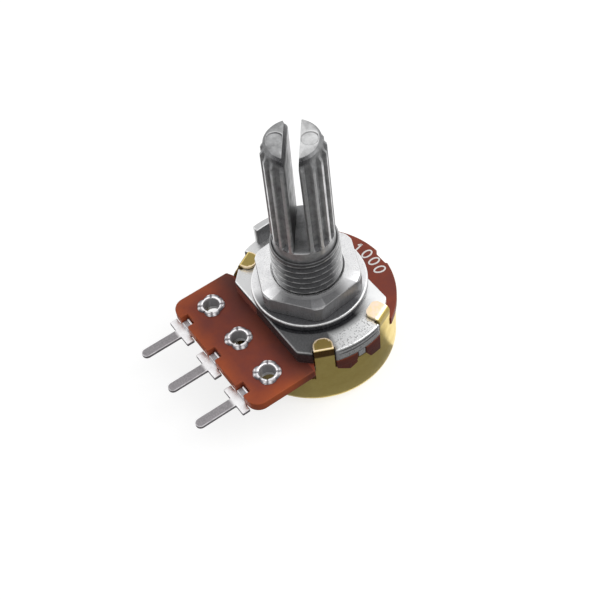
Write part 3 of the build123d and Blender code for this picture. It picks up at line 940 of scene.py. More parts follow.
@dataclass
class FrontPlate:
    """The zinc front plate with its locating tab, the peg into the board and the threaded bushing."""

    thickness: float = 1.7
    front: float = 5.65
    back: float = 4.9
    front_right: float = 11.5
    back_right: float = 10.8
    back_left: float = 9.75
    front_left: float = 10.5
    lug_right: float = 8.45
    lug_left: float = 8.05
    notch_floor_right: float = 7.83
    notch_floor_left: float = 7.03
    notch_half: float = 1.07
    edge_round: float = 0.16
    major_radius: float = 3.4
    thread_depth: float = 0.3
    thread_pitch: float = 0.75
    bushing_length: float = 7.0
    taper: float = 0.12
    taper_length: float = 1.5
    bore_radius: float = 3.05
    countersink: float = 0.06
    locator_width: float = 2.3
    locator_thickness: float = 0.75
    locator_height: float = 2.2
    peg_width: float = 0.8
    peg_depth: float = 0.8
    peg_thickness: float = 0.7
    glint_angle: float = 272.0

    def outline(self) -> Array:
        """Works out the plate's outline.

        The reach in each direction is the least of the lug's radius and the distance d / cos(a - n) to each
        straight edge. The four notches for the can's tabs are then cut out.

        Returns:
            The outline, evenly spaced and with softened corners.
        """
        a = np.arange(3600) * TURN / 3600
        reach = np.where(np.cos(a) > 0, self.lug_right, self.lug_left)
        half = math.sqrt(0.5)
        sides = (
            (270.0, self.front),
            (90.0, self.back),
            (315.0, self.front_right * half),
            (45.0, self.back_right * half),
            (135.0, self.back_left * half),
            (225.0, self.front_left * half),
        )
        for normal, distance in sides:
            slope = np.cos(a - math.radians(normal))
            reach = np.minimum(reach, np.where(slope > 0.05, distance / np.maximum(slope, 0.05), reach))
        loop = polar(reach, a)
        for angle in RIGHT_TABS:
            loop = bite(loop, angle, self.notch_floor_right, self.notch_half)
        for angle in LEFT_TABS:
            loop = bite(loop, angle, self.notch_floor_left, self.notch_half)
        return soften(even(loop, 0.06), 6)

    def thread(self, shell: Shell) -> None:
        """Adds the threaded bushing.

        The outside radius is major - depth * v, where v is a rounded V that repeats with each pitch along
        z - pitch * a / turn, so it winds round the bushing as a helix. It fades out at the mouth, towards
        which the radius tapers.

        Args:
            shell: The shell that takes the surface.
        """
        a = np.arange(160) * TURN / 160
        z = np.linspace(-0.3, self.bushing_length, 112)
        phase = (z[:, None] / self.thread_pitch - a / TURN) % 1.0
        vee = np.clip(1.25 * (1.0 - np.abs(2.0 * phase - 1.0)) - 0.125, 0.0, 1.0)
        fade = np.clip((self.bushing_length - 0.1 - z) / 0.5, 0.0, 1.0)[:, None]
        slope = np.clip(1.0 - (self.bushing_length - z) / self.taper_length, 0.0, 1.0)[:, None]
        cut = self.thread_depth * (1.0 - 0.5 * slope) * vee * fade
        radius = self.major_radius - self.taper * slope - cut
        height = np.broadcast_to(z[:, None], radius.shape)
        mouth = self.bushing_length
        inner = np.array(
            [
                (self.major_radius - self.taper - 0.08, mouth),
                (self.bore_radius + self.countersink, mouth),
                (self.bore_radius, mouth - self.countersink),
                (self.bore_radius, -self.thickness + 0.1),
                (self.major_radius - 0.1, -self.thickness + 0.1),
            ]
        )
        radius = np.vstack([radius, np.repeat(inner[:, :1], len(a), axis=1)])
        height = np.vstack([height, np.repeat(inner[:, 1:], len(a), axis=1)])
        ends = np.zeros((len(inner), len(a)))
        # Painted glints on the crests, strongest at glint_angle; painted shade in the roots, at the mouth
        # and down the bore.
        glint = 0.55 + 0.6 * np.exp(-(((a - math.radians(self.glint_angle)) / 0.5) ** 2))
        crest = np.vstack([glint * (vee < 0.06) * np.ones_like(fade), ends])
        crest[-len(inner)] = 0.35
        painted_shade = np.vstack([0.3 + 0.65 * vee, ends + np.array([0.75, 0.85, 0.95, 1.0, 1.0])[:, None]])
        shell.grid(round_axis(radius, a, height), wrap_rows=True, edge=crest, painted_shade=painted_shade)

    def build(self, material: bpy.types.Material) -> None:
        """Builds the plate as one piece that stands for the CAD casting."""
        shell = Shell()
        bore = circle(self.bore_radius, 96)
        shell.slab(self.outline(), -self.thickness, 0.0, self.edge_round, [bore], under=0.08)
        self.thread(shell)
        x = -self.lug_left
        half = self.locator_width / 2
        curved = soften(even(rectangle((x, x + self.locator_thickness), (-half, half)), 0.05), 4)
        curved[:, 0] += 0.5 * curved[:, 1] ** 2 / self.lug_left
        locator = Shell()
        locator.slab(curved, -0.3, self.locator_height, 0.1, under=0.02)
        # Painted shade on the locating tab: most on its inner face towards the shaft, less on its top, a
        # little elsewhere.
        inner_face = x + self.locator_thickness * 0.6
        top = self.locator_height - 0.05
        locator.darken(lambda at: np.where(at[:, 2] > top, 0.4, np.where(at[:, 0] > inner_face, 0.9, 0.2)))
        shell.join(locator)
        end, half = self.lug_right, self.peg_width / 2
        peg = rectangle((end - self.peg_thickness, end), (-half, half))
        shell.slab(soften(even(peg, 0.05), 3), -self.thickness - self.peg_depth, -self.thickness + 0.3, 0.04)
        piece = place(shell.mesh("front_plate"), "front_plate", material, "body")
        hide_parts("bushing_plate")


@dataclass(frozen=True)
class ProngShape:
    """A prong's rows in the slot's own axes.

    z has each row's height, x and y each point's place, and sweep and ridge the angle and the ridges' share
    of the columns on the round side. The columns after them run back along the slot's wall.
    """

    z: Array
    x: Array
    y: Array
    sweep: Array
    ridge: Array


@dataclass
class SplinedShaft:
    """The shaft: two splined prongs, a plain journal, the clip's groove and the double-D tail.

    mark_rings has the rings of the round mark on each prong's top: how much wider than the mark each is,
    and its share of the mark's depth.
    """

    radius: float = 3.0
    root: float = 2.65
    top: float = 20.0
    floor: float = 8.3
    ridges: int = 18
    tip_half: float = 0.13
    base_half: float = 0.26
    nose: float = 0.65
    nose_length: float = 0.6
    nose_chamfer: float = 0.25
    run_out: float = 0.35
    slot_half: float = 0.68
    slot_angle: float = -37.5
    lead_in: float = 1.1
    lead_left: float = 0.24
    lead_right: float = 0.12
    lean: float = 0.12
    tip_left: float = 1.0
    tip_right: float = 0.2
    tip_start: float = 1.85
    mark_radius: float = 0.76
    mark_distance: float = 1.62
    mark_depth: float = 0.05
    mark_rings: tuple[tuple[float, float], ...] = (
        (0.17, 0.0), (0.12, 0.0), (0.06, 0.0), (0.04, 0.0), (0.0, 1.0), (-0.1, 1.0), (-0.12, 1.0)
    )
    shadow_rise: float = 5.7
    prong_columns: int = 181
    journal_end: float = -1.76
    groove_radius: float = 2.0
    groove_end: float = -2.26
    tail_radius: float = 2.4
    tail_flat: float = 1.7
    flat_end: float = -4.69
    tail_chamfer: float = 0.15
    tail_end: float = -5.14

    def ridge_height(self, angle: Array) -> Array:
        """Share of the ridges' height at an angle from the slot's direction.

        Each ridge is a trapezoid: full within its tip's half width, none beyond its base's, and a straight
        flank between, where the distance from its middle is the middle radius times the angle.

        Args:
            angle: Angles from the slot's direction, in radians.

        Returns:
            The shares, from 0 in a groove to 1 on a ridge.
        """
        pitch = TURN / self.ridges
        off = np.abs((angle + pitch / 2) % pitch - pitch / 2) * (self.radius + self.root) / 2
        return np.clip((self.base_half - off) / (self.base_half - self.tip_half), 0.0, 1.0)

    def prong_shape(self, side: float) -> ProngShape:
        """Works out one prong's round side and its wall along the slot, in the slot's own axes.

        The outline at height z is the splined arc r(a, z) above the slot's wall, where r is the root radius
        plus the ridges' height, which runs out at both ends, and is cut back at the chamfered nose. The
        slot's wall slopes back at its mouth, the more so past the far tip's start, by the square of the
        distance past it. The arc ends where it meets the wall, found by coming closer in a few rounds.

        Args:
            side: 1 for the prong to the left of the slot's direction, -1 for the other.

        Returns:
            The prong's rows.
        """
        shoulder = self.top - self.nose
        ridge_end = shoulder - self.nose_length
        z = np.concatenate(
            [
                [self.floor - 0.15, self.floor, self.floor + 0.12, self.floor + self.run_out],
                np.linspace(self.floor + 0.6, ridge_end, 14),
                shoulder - self.nose_length * np.array([0.83, 0.6, 0.35, 0.15, 0.0]),
                [self.top - self.nose_chamfer, self.top - 0.12, self.top - 0.05, self.top],
            ]
        )
        lead, tip = (self.lead_left, self.tip_left) if side < 0 else (self.lead_right, self.tip_right)
        slope = np.interp(z, [self.top - self.lead_in, self.top], [0.0, 1.0])[:, None]
        cut = np.interp(z, [self.top - self.nose_chamfer, self.top], [0.0, self.nose_chamfer])[:, None]

        def wall(along: Array) -> Array:
            """The slot's wall: its distance from the slot's middle at a place along the slot."""
            past = np.maximum(-side * along - self.tip_start, 0.0)
            return self.slot_half + slope * (lead + tip * past**2)

        first, last = (self.root - cut) * 0.96, (cut - self.root) * 0.96
        for _ in range(9):
            first = np.sqrt((self.root - cut) ** 2 - wall(first) ** 2)
            last = -np.sqrt((self.root - cut) ** 2 - wall(last) ** 2)
        first, last = np.arctan2(wall(first), first), np.arctan2(wall(last), last)
        sweep = first + (last - first) * np.linspace(0.0, 1.0, self.prong_columns)
        rise = np.interp(z, [self.floor, self.floor + self.run_out], [1.0, 0.0])
        tall = np.interp(z, [ridge_end, shoulder], [1.0, 0.0])
        ridge = self.ridge_height(sweep)
        full = np.maximum(ridge * tall[:, None], rise[:, None])
        radius = self.root + (self.radius - self.root) * full - cut
        x = radius * np.cos(sweep)
        share = np.linspace(0.0, 1.0, 26)[None, 1:-1]
        back_x = x[:, -1:] + (x[:, :1] - x[:, -1:]) * share
        y = np.hstack([radius * np.sin(sweep), np.zeros_like(back_x)])
        x = np.hstack([x, back_x])
        return ProngShape(z, x, np.maximum(y, wall(x)), sweep, ridge)

    def top_marks(self, side: float) -> tuple[float, float]:
        """How much painted highlight and painted shade a prong's top has: highlight on the right prong,
        shade on the other.
        """
        return (0.4, 0.0) if side > 0 else (0.0, 0.26)

    def prong_marks(self, shape: ProngShape, side: float, halo: Array) -> tuple[Array, Array]:
        """Works out the painted highlights and painted shade of the points of a prong's rows and of its
        top's rings.

        Painted highlights lie along the ridges' flanks and on one ring of the round mark, on its lit side.
        Painted shade lies in the grooves, on the nose, the foot, the slot's wall at its mouth and under a
        slanting line, and on the walls of the round mark.

        Args:
            shape: The prong's rows.
            side: Which prong it is.
            halo: How lit each column of the top's rings is, from 0 to 1.

        Returns:
            The painted highlight marks and the painted shade marks, one of each per point.
        """
        z, ridge, columns = shape.z, shape.ridge, self.prong_columns
        ridge_end = self.top - self.nose - self.nose_length
        last = len(z) - 1
        wear_and_highlight, dark = self.top_marks(side)
        edge = np.full((len(z) + len(self.mark_rings), shape.x.shape[1]), wear_and_highlight)
        painted_shade = np.full_like(edge, dark)
        flank = np.exp(-(((ridge - 0.93) / 0.16) ** 2)) * (ridge > 0.5)
        run = (z > self.floor + 0.2) * np.clip((ridge_end - z) / 0.5, 0.0, 1.0)
        edge[:last] = 0.0
        edge[:last, :columns] = (0.85 * flank * run[:, None])[:last]
        edge[-6] = np.maximum(wear_and_highlight, 0.9 * halo)
        nose = np.interp(z, [ridge_end - 0.3, self.top - self.nose], [0.0, 1.0])
        front = shape.sweep - shape.sweep[:, :1] if side > 0 else shape.sweep[:, -1:] - shape.sweep
        nose = nose[:, None] * (0.62 + 0.38 * np.exp(-((front / 0.4) ** 2)))
        foot_end = self.floor + self.run_out
        foot = np.interp(z, [foot_end, foot_end + 0.4], [0.9, 0.0])
        grooves = np.maximum(0.52, np.maximum(nose, foot[:, None])) * (1.0 - ridge)
        painted_shade[:last, :columns] = np.maximum(grooves, nose)[:last]
        mouth = np.interp(z, [self.top - self.lead_in, self.top - 0.9], [0.1, 1.0])
        line = self.floor + self.shadow_rise * (0.5 + side * shape.x[:last, columns:] / (2 * self.root))
        low = np.clip((line - z[:last, None]) / 0.5, 0.0, 0.95)
        painted_shade[:last, columns:] = np.maximum(mouth[:last, None], low)
        painted_shade[last, :columns] = 0.55
        painted_shade[-4:-2] = 0.35 + 0.3 * (side > 0) + 0.55 * halo
        return edge, painted_shade

    def prong(self, shell: Shell, side: float) -> None:
        """Adds one prong with the round mark on its top, leaning in by a share of its height.

        Args:
            shell: The shell that takes the surface.
            side: 1 for the prong to the left of the slot's direction, which is the right one from the front,
                and -1 for the other.
        """
        shape = self.prong_shape(side)
        across, over = shape.x[-1], shape.y[-1] - self.mark_distance
        angle, reach = np.arctan2(over, across), np.hypot(across, over)
        rings = []
        for step, (wider, depth) in enumerate(self.mark_rings):
            ring = polar(np.minimum(self.mark_radius + wider, reach * (0.98 - 0.02 * step)), angle)
            rings.append(raised(ring + (0.0, self.mark_distance), self.top - self.mark_depth * depth))
        height = np.broadcast_to(shape.z[:, None], shape.x.shape)
        rows = np.concatenate([np.stack([shape.x, shape.y, height], axis=-1), np.stack(rings)])
        rows[..., 1] -= self.lean * np.clip((rows[..., 2] - self.floor) / (self.top - self.floor), 0.0, 1.0)
        turned = self.turned_to_slot(rows, side)
        halo = np.clip(np.sin(angle + self.turn_of(side) - 0.5), 0.0, 1.0)
        edge, painted_shade = self.prong_marks(shape, side, halo)
        shell.grid(turned, edge=edge, painted_shade=painted_shade)
        shell.fan(turned[0], turned[0].mean(axis=0))
        middle = np.array([0.0, self.mark_distance - self.lean, self.top - self.mark_depth])
        shell.fan(turned[-1], self.turned_to_slot(middle, side), *self.top_marks(side))

    def turn_of(self, side: float) -> float:
        """The turn in radians from the slot's own axes to the frame's, half a turn more for side -1."""
        return math.radians(self.slot_angle) + (0.0 if side > 0 else math.pi)

    def turned_to_slot(self, points: Array, side: float) -> Array:
        """Turns points from the slot's own axes to the frame's."""
        a = self.turn_of(side)
        c, s = math.cos(a), math.sin(a)
        x, y, z = points[..., 0], points[..., 1], points[..., 2]
        return np.stack([c * x - s * y, s * x + c * y, z], axis=-1)

    def tail(self, shell: Shell) -> None:
        """Adds the journal and what is under it: radius by height, cut by two flats above the tail's end.

        Args:
            shell: The shell that takes the surface.
        """
        floor_rings = [(r, self.floor) for r in (0.0, 0.5, 1.0, 1.5, 2.0, 2.5)]
        profile = np.array(
            [
                *floor_rings,
                (self.radius - 0.12, self.floor),
                (self.radius, self.floor - 0.08),
                (self.radius, self.journal_end),
                (self.groove_radius, self.journal_end),
                (self.groove_radius, self.groove_end),
                (self.tail_radius, self.groove_end),
                (self.tail_radius, self.flat_end),
                (self.tail_radius, self.flat_end),
                (self.tail_radius, self.tail_end + self.tail_chamfer),
                (self.tail_radius - self.tail_chamfer, self.tail_end),
                (0.0, self.tail_end),
            ]
        )
        uncut = 9.0
        flat = np.full((len(profile), 1), uncut)
        flat[len(floor_rings) + 5 : len(floor_rings) + 7] = self.tail_flat
        a = np.arange(128) * TURN / 128
        across = np.abs(np.sin(a - math.radians(self.slot_angle)))
        radius = np.minimum(profile[:, :1], flat / np.maximum(across, 0.05))
        # Painted shade on the slot's floor, less on the journal and below it.
        painted_shade = np.broadcast_to(np.where(profile[:, 1:] > self.floor - 0.01, 0.62, 0.3), radius.shape)
        shell.grid(round_axis(radius, a, profile[:, 1:]), painted_shade=painted_shade)

    def build(self, material: bpy.types.Material) -> None:
        """Builds the shaft as one piece that stands for the CAD shaft."""
        shell = Shell()
        self.tail(shell)
        self.prong(shell, 1.0)
        self.prong(shell, -1.0)
        piece = place(shell.mesh("splined_shaft"), "splined_shaft", material, "rotor")
        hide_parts("shaft")


@dataclass
class Washer:
    """The washer under the nut, with a rolled rim."""

    radius: float = 5.73
    bore: float = 3.55
    thickness: float = 0.9
    rounding: float = 0.24
    front: float = -28.8

    def build(self, material: bpy.types.Material) -> None:
        """Builds the washer: a rounded section turned round the axis, with a painted highlight on its rim
        and painted shade on its side and underside, darkest at the front.
        """
        inwards, upwards = quarter(6)
        r, t = self.rounding, self.thickness
        outer = self.radius - r * inwards
        lower = np.column_stack([outer[::-1], r * (1 - upwards[::-1])])
        upper = np.column_stack([outer, t - r * (1 - upwards)])
        bore = self.bore
        inner = np.array([(bore + 0.1, t), (bore, t - 0.1), (bore, 0.1), (bore + 0.1, 0.0)])
        profile = np.vstack([lower, upper, inner])
        edge = np.concatenate([np.zeros(6), [0.0, 0.3, 1.0, 0.9, 0.1, 0.0], np.zeros(4)])
        painted_shade = np.concatenate([np.full(6, 1.0), [1.0, 0.9, 0.0, 0.0, 0.0, 0.0], np.zeros(4)])
        a = np.arange(160) * TURN / 160
        # The washer's painted shade is strongest towards the front.
        share = np.clip(0.35 + 1.2 * np.cos(a - math.radians(self.front)), 0.3, 1.0)
        shell = Shell()
        points = round_axis(profile[:, :1], a, profile[:, 1:])
        shell.grid(points, wrap_rows=True, edge=edge, painted_shade=painted_shade[:, None] * share)
        piece = place(shell.mesh("lock_washer"), "lock_washer", material, "lock_washer")
        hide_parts("washer")


@dataclass
class HexNut:
    """The bushing nut: a hexagon cut back to a round face, with a chamfered bore."""

    across_flats: float = 9.62
    bottom: float = 0.9
    top: float = 2.9
    angle: float = 36.0
    face_radius: float = 5.12
    corner_radius: float = 5.34
    chamfer_slope: float = 0.577
    bore: float = 3.42
    mouth: float = 0.16
    rounding: float = 0.07

    def build(self, material: bpy.types.Material) -> None:
        """Builds the nut.

        The side's reach is apothem / cos(b), with b the angle from the nearest flat's middle, held to the
        corners' radius. The top face reaches as far, but no further than its round face, and the chamfer
        falls from there to the side.
        """
        a = np.arange(216) * TURN / 216
        b = (a - math.radians(self.angle)) % (TURN / 6) - TURN / 12
        side = np.minimum(self.across_flats / 2 / np.cos(b), self.corner_radius)
        face = np.minimum(side - self.rounding, self.face_radius)
        foot = np.minimum(side - self.rounding, self.face_radius + 0.1)
        drop = (side - face) * self.chamfer_slope
        rows = [
            (self.bore, self.top - self.mouth),
            (self.bore + self.mouth, self.top),
            (self.bore + self.mouth + 0.07, self.top),
            (face, self.top),
            (side - self.rounding * 0.3, self.top - drop - self.rounding * 0.3),
            (side, self.top - drop - self.rounding),
            (side, self.bottom + (side - foot) * 0.5 + self.rounding + 0.14),
            (side, self.bottom + (side - foot) * 0.5 + self.rounding),
            (foot, self.bottom),
            (self.bore, self.bottom),
        ]
        # Painted highlights on the bore's mouth and the chamfer's edge; painted shade in the bore and along
        # the foot.
        edge = np.array([0.6, 1.0, 0.0, 0.0, 0.9, 0.1, 0.0, 0.0, 0.0, 0.0])
        painted_shade = np.array([0.6, 0.0, 0.0, 0.0, 0.0, 0.0, 0.0, 1.0, 1.0, 1.0])
        shell = Shell()
        shell.grid(np.stack([round_axis(r, a, z) for r, z in rows]), wrap_rows=True, edge=edge, painted_shade=painted_shade)
        piece = place(shell.mesh("bushing_nut"), "bushing_nut", material, "bushing_nut")
        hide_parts("nut")


@dataclass
class Board:
    """The phenolic board: a round part and a tongue, with the notches and holes of its neighbours.

    dark_part darkens what lies beyond its x, within its y and below its z, in the shade of the plate.
    """

    top: float = -1.7
    bottom: float = -2.8
    radius: float = 8.49
    tongue_half: float = 7.6
    tongue_end: float = 11.85
    tongue_corner: float = 1.3
    hole_radius: float = 4.5
    rivet_row: float = 8.6
    rivet_hole: float = 0.98
    pitch: float = 5.0
    notch_half: float = 0.65
    notch_depth: float = 0.85
    rounding: float = 0.1
    tab_floor: float = 7.83
    tab_half_right: float = 1.07
    tab_half_left: float = 0.99
    peg_floor: float = 7.67
    peg_half: float = 0.48
    snap_depth: float = 0.3
    snap_half: float = 0.9
    snap_shift: float = -0.6
    dark_part: tuple[float, float, float] = (6.9, 4.2, -1.69)
    lip_radii: tuple[float, float, float] = (8.36, 8.43, 8.47)
    lip_angles: tuple[tuple[float, ...], ...] = ((-18.2, -9.5, -4.0), (3.9, 7.0, 16.4))
    lip_drops: tuple[tuple[float, ...], ...] = ((0.15, 0.95, 0.45), (0.05, 0.95, 1.2))

    def outline(self) -> Array:
        """Works out the board's outline: a circle's arc, the tongue's sides and its two round corners.

        Returns:
            The outline with its notches, evenly spaced and with softened corners.
        """
        join = math.degrees(math.acos(self.tongue_half / self.radius))
        x = self.tongue_half - self.tongue_corner
        y = self.tongue_end - self.tongue_corner
        loop = np.vstack(
            [
                arc((0.0, 0.0), self.radius, -join, 180.0 + join, 600),
                arc((-x, -y), self.tongue_corner, 180.0, 270.0, 24),
                arc((x, -y), self.tongue_corner, 270.0, 360.0, 24),
            ]
        )
        loop = even(loop, 0.03)
        for angle in RIGHT_TABS:
            loop = bite(loop, angle, self.tab_floor, self.tab_half_right)
        for angle in LEFT_TABS:
            loop = bite(loop, angle, self.tab_floor, self.tab_half_left)
        loop = bite(loop, 0.0, self.peg_floor, self.peg_half)
        loop = bite(loop, 90.0, self.radius - self.snap_depth, self.snap_half, self.snap_shift)
        for place_x in (-self.pitch, 0.0, self.pitch):
            loop = bite(loop, 270.0, self.tongue_end - self.notch_depth, self.notch_half, place_x)
        return soften(even(loop, 0.06), 4)

    def lips(self, shell: Shell) -> None:
        """Adds the rough lips of the board's edge that hang over the can's rim between its front tabs.

        Each is a thin curved strip between two radii. Its lower edge falls and rises along straight lines
        from angle to angle.

        Args:
            shell: The shell that takes the surface.
        """
        start = self.bottom + 0.3
        for corners, drops in zip(self.lip_angles, self.lip_drops):
            degrees = np.linspace(corners[0], corners[-1], 24)
            a = np.radians(degrees)
            end = self.bottom - np.interp(degrees, corners, drops)
            inner, middle, outer = self.lip_radii
            section = ((inner, start), (inner, end), (middle, end), (outer, end + 0.05), (outer, start))
            strip = np.stack([round_axis(r, a, z) for r, z in section])
            shell.grid(strip, wrap_rows=True, wrap_columns=False)
            for side in (strip[:, 0], strip[:, -1]):
                shell.add(side, np.array([[0, 1, 2, 3, 4]]))

    def build(self, material: bpy.types.Material) -> None:
        """Builds the board as one slab with its holes and its lips."""
        holes = [circle(self.hole_radius, 96)]
        for place_x in (-self.pitch, 0.0, self.pitch):
            holes.append(circle(self.rivet_hole, 40, (place_x, -self.rivet_row)))
        shell = Shell()
        shell.slab(self.outline(), self.bottom, self.top, self.rounding, holes, wear_and_highlight=0.35)
        self.lips(shell)
        x, y, z = self.dark_part
        shell.darken(lambda at: 0.55 * (at[:, 0] > x) * (np.abs(at[:, 1]) < y) * (at[:, 2] < z))
        piece = place(shell.mesh("phenolic_board"), "phenolic_board", material, "body")
        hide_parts("element_board")


@dataclass(frozen=True)
class Step:
    """A low block on a pin's sheet, in a notch of the board, in mm along -Y and above the sheet."""

    half: float
    outer: float
    inner: float
    height: float
    painted_shade: float


@dataclass
class SolderPin:
    """One solder pin with the hollow rivet that is drawn up through the board and clinched over it."""

    name: str
    node: str
    x: float
    phase: float
    sheet_top: float = -2.84
    sheet: float = 0.4
    rivet_row: float = 8.6
    ring_radius: float = 1.55
    strip_half: float = 1.0
    shoulder_start: float = 11.85
    shoulder_end: float = 12.7
    shoulder_half: float = 1.7
    leg_half: float = 0.5
    tip: float = 16.85
    bore: float = 0.8
    barrel: float = 0.95
    board_top: float = -1.7
    rim_height: float = 0.26
    petals: int = 4
    leg_painted_shade: float = 0.76
    upstand: Step = Step(half=0.5, outer=11.31, inner=11.06, height=0.65, painted_shade=0.2)
    heel: Step = Step(half=0.6, outer=11.83, inner=11.2, height=0.42, painted_shade=0.6)

    def outline(self) -> Array:
        """Works out the blank's outline, seen from above with the rivet at the origin of x.

        Returns:
            The anticlockwise outline: the leg's round end, the shoulder, the strip and the ring.
        """
        wide = math.degrees(math.asin(self.strip_half / self.ring_radius))
        end = self.tip - self.leg_half
        loop = np.vstack(
            [
                arc((0.0, -end), self.leg_half, 180.0, 360.0, 24),
                [(self.leg_half, -self.shoulder_end), (self.shoulder_half, -self.shoulder_end)],
                [(self.shoulder_half, -self.shoulder_start), (self.strip_half, -self.shoulder_start)],
                arc((0.0, -self.rivet_row), self.ring_radius, wide - 90.0, 270.0 - wide, 48),
                [(-self.strip_half, -self.shoulder_start), (-self.shoulder_half, -self.shoulder_start)],
                [(-self.shoulder_half, -self.shoulder_end), (-self.leg_half, -self.shoulder_end)],
            ]
        )
        return soften(even(loop, 0.06), 2)

    def rivet(self, shell: Shell) -> None:
        """Adds the hollow rivet.

        Its section runs up the bore, over a crest and down to the board, and back down the barrel. The
        flange's reach and its crest's height swell with the petals, |cos(n a / 2)|, and pinch between them.

        Args:
            shell: The shell that takes the surface.
        """
        a = np.arange(144) * TURN / 144
        lobe = np.abs(np.cos(self.petals * (a - self.phase) / 2)) ** 0.45
        uneven = 0.05 * np.sin(3 * a + 2 * self.phase) + 0.03 * np.sin(7 * a + self.phase)
        reach = 1.10 + 0.28 * lobe + uneven
        turn_off = (a - self.phase + math.pi / self.petals) % (TURN / self.petals) - math.pi / self.petals
        split = np.exp(-((turn_off / 0.11) ** 2))
        crest = self.board_top + self.rim_height * (0.9 - 0.35 * split)
        middle = (self.bore + reach) / 2
        bottom = self.sheet_top - self.sheet + 0.02
        rows = [
            (self.bore, bottom),
            (self.bore, self.board_top),
            (self.bore + 0.02, crest - 0.08),
            (self.bore + 0.08, crest - 0.015),
            (self.bore + 0.16, crest),
            (middle, crest - 0.04),
            (reach - 0.1, self.board_top + 0.14 + 0.04 * lobe),
            (reach, self.board_top + 0.06),
            (reach - 0.04, self.board_top),
            (self.barrel, self.board_top - 0.02),
            (self.barrel, bottom),
        ]
        points = np.stack([round_axis(r, a, z) for r, z in rows])
        points[..., 1] -= self.rivet_row
        # Painted highlights on the ring between splits and at petal tips; painted shade in the bore, splits
        # and under the flange.
        tip = np.exp(-(((np.abs(turn_off) - 0.2) / 0.11) ** 2))
        ring = 1.0 - split
        off = np.zeros_like(a)
        edge = np.stack([off, off, 0.3 * ring, ring, ring, 0.3 * ring, tip, 0.8 * tip, off, off, off])
        flange = [split, split, 0.75 + 0.25 * split, 1.0 - tip, 1.0 - tip]
        painted_shade = np.stack([off + 0.6, off + 0.6, off + 0.4, *flange, off + 1.0, off + 1.0, off + 1.0])
        shell.grid(points, wrap_rows=True, edge=edge, painted_shade=painted_shade)

    def build(self, material: bpy.types.Material) -> None:
        """Builds the pin as one piece that stands for its CAD node."""
        shell = Shell()
        hole = circle(self.bore, 40, (0.0, -self.rivet_row))
        bottom, leg = self.sheet_top - self.sheet, -self.shoulder_end
        # Painted shade on the sheet's sides, down the leg and on the blocks in the notch.
        shell.slab(self.outline(), bottom, self.sheet_top, 0.1, [hole], under=0.06, side=0.9)
        shell.darken(lambda at: np.interp(at[:, 1], [leg - 0.3, leg], [self.leg_painted_shade, 0.0]))
        self.rivet(shell)
        for step in (self.upstand, self.heel):
            loop = soften(even(rectangle((-step.half, step.half), (-step.outer, -step.inner)), 0.04), 3)
            low, high = self.sheet_top - 0.1, self.sheet_top + step.height
            shell.slab(loop, low, high, 0.1, under=0.02, painted_shade=step.painted_shade, side=step.painted_shade)
        shell.shift(self.x, 0.0)
        piece = place(shell.mesh(self.name), self.name, material, "body")
        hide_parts(self.node)


@dataclass(frozen=True)
class CanTab:
    """One tab of the can, in degrees and mm.

    lean is how far it leans in, bend and tip the radii of its bend and its end, length its reach over the
    plate. The rest say how much painted highlight and painted shade its lid, the lid's rim, the fold's line
    and the bend have, 0 to 1.
    """

    angle: float
    lean: float
    bend: float
    length: float
    tip: float
    lid_highlight: float
    lid_painted_shade: float
    rim_highlight: float
    fold_highlight: float
    bend_painted_shade: float


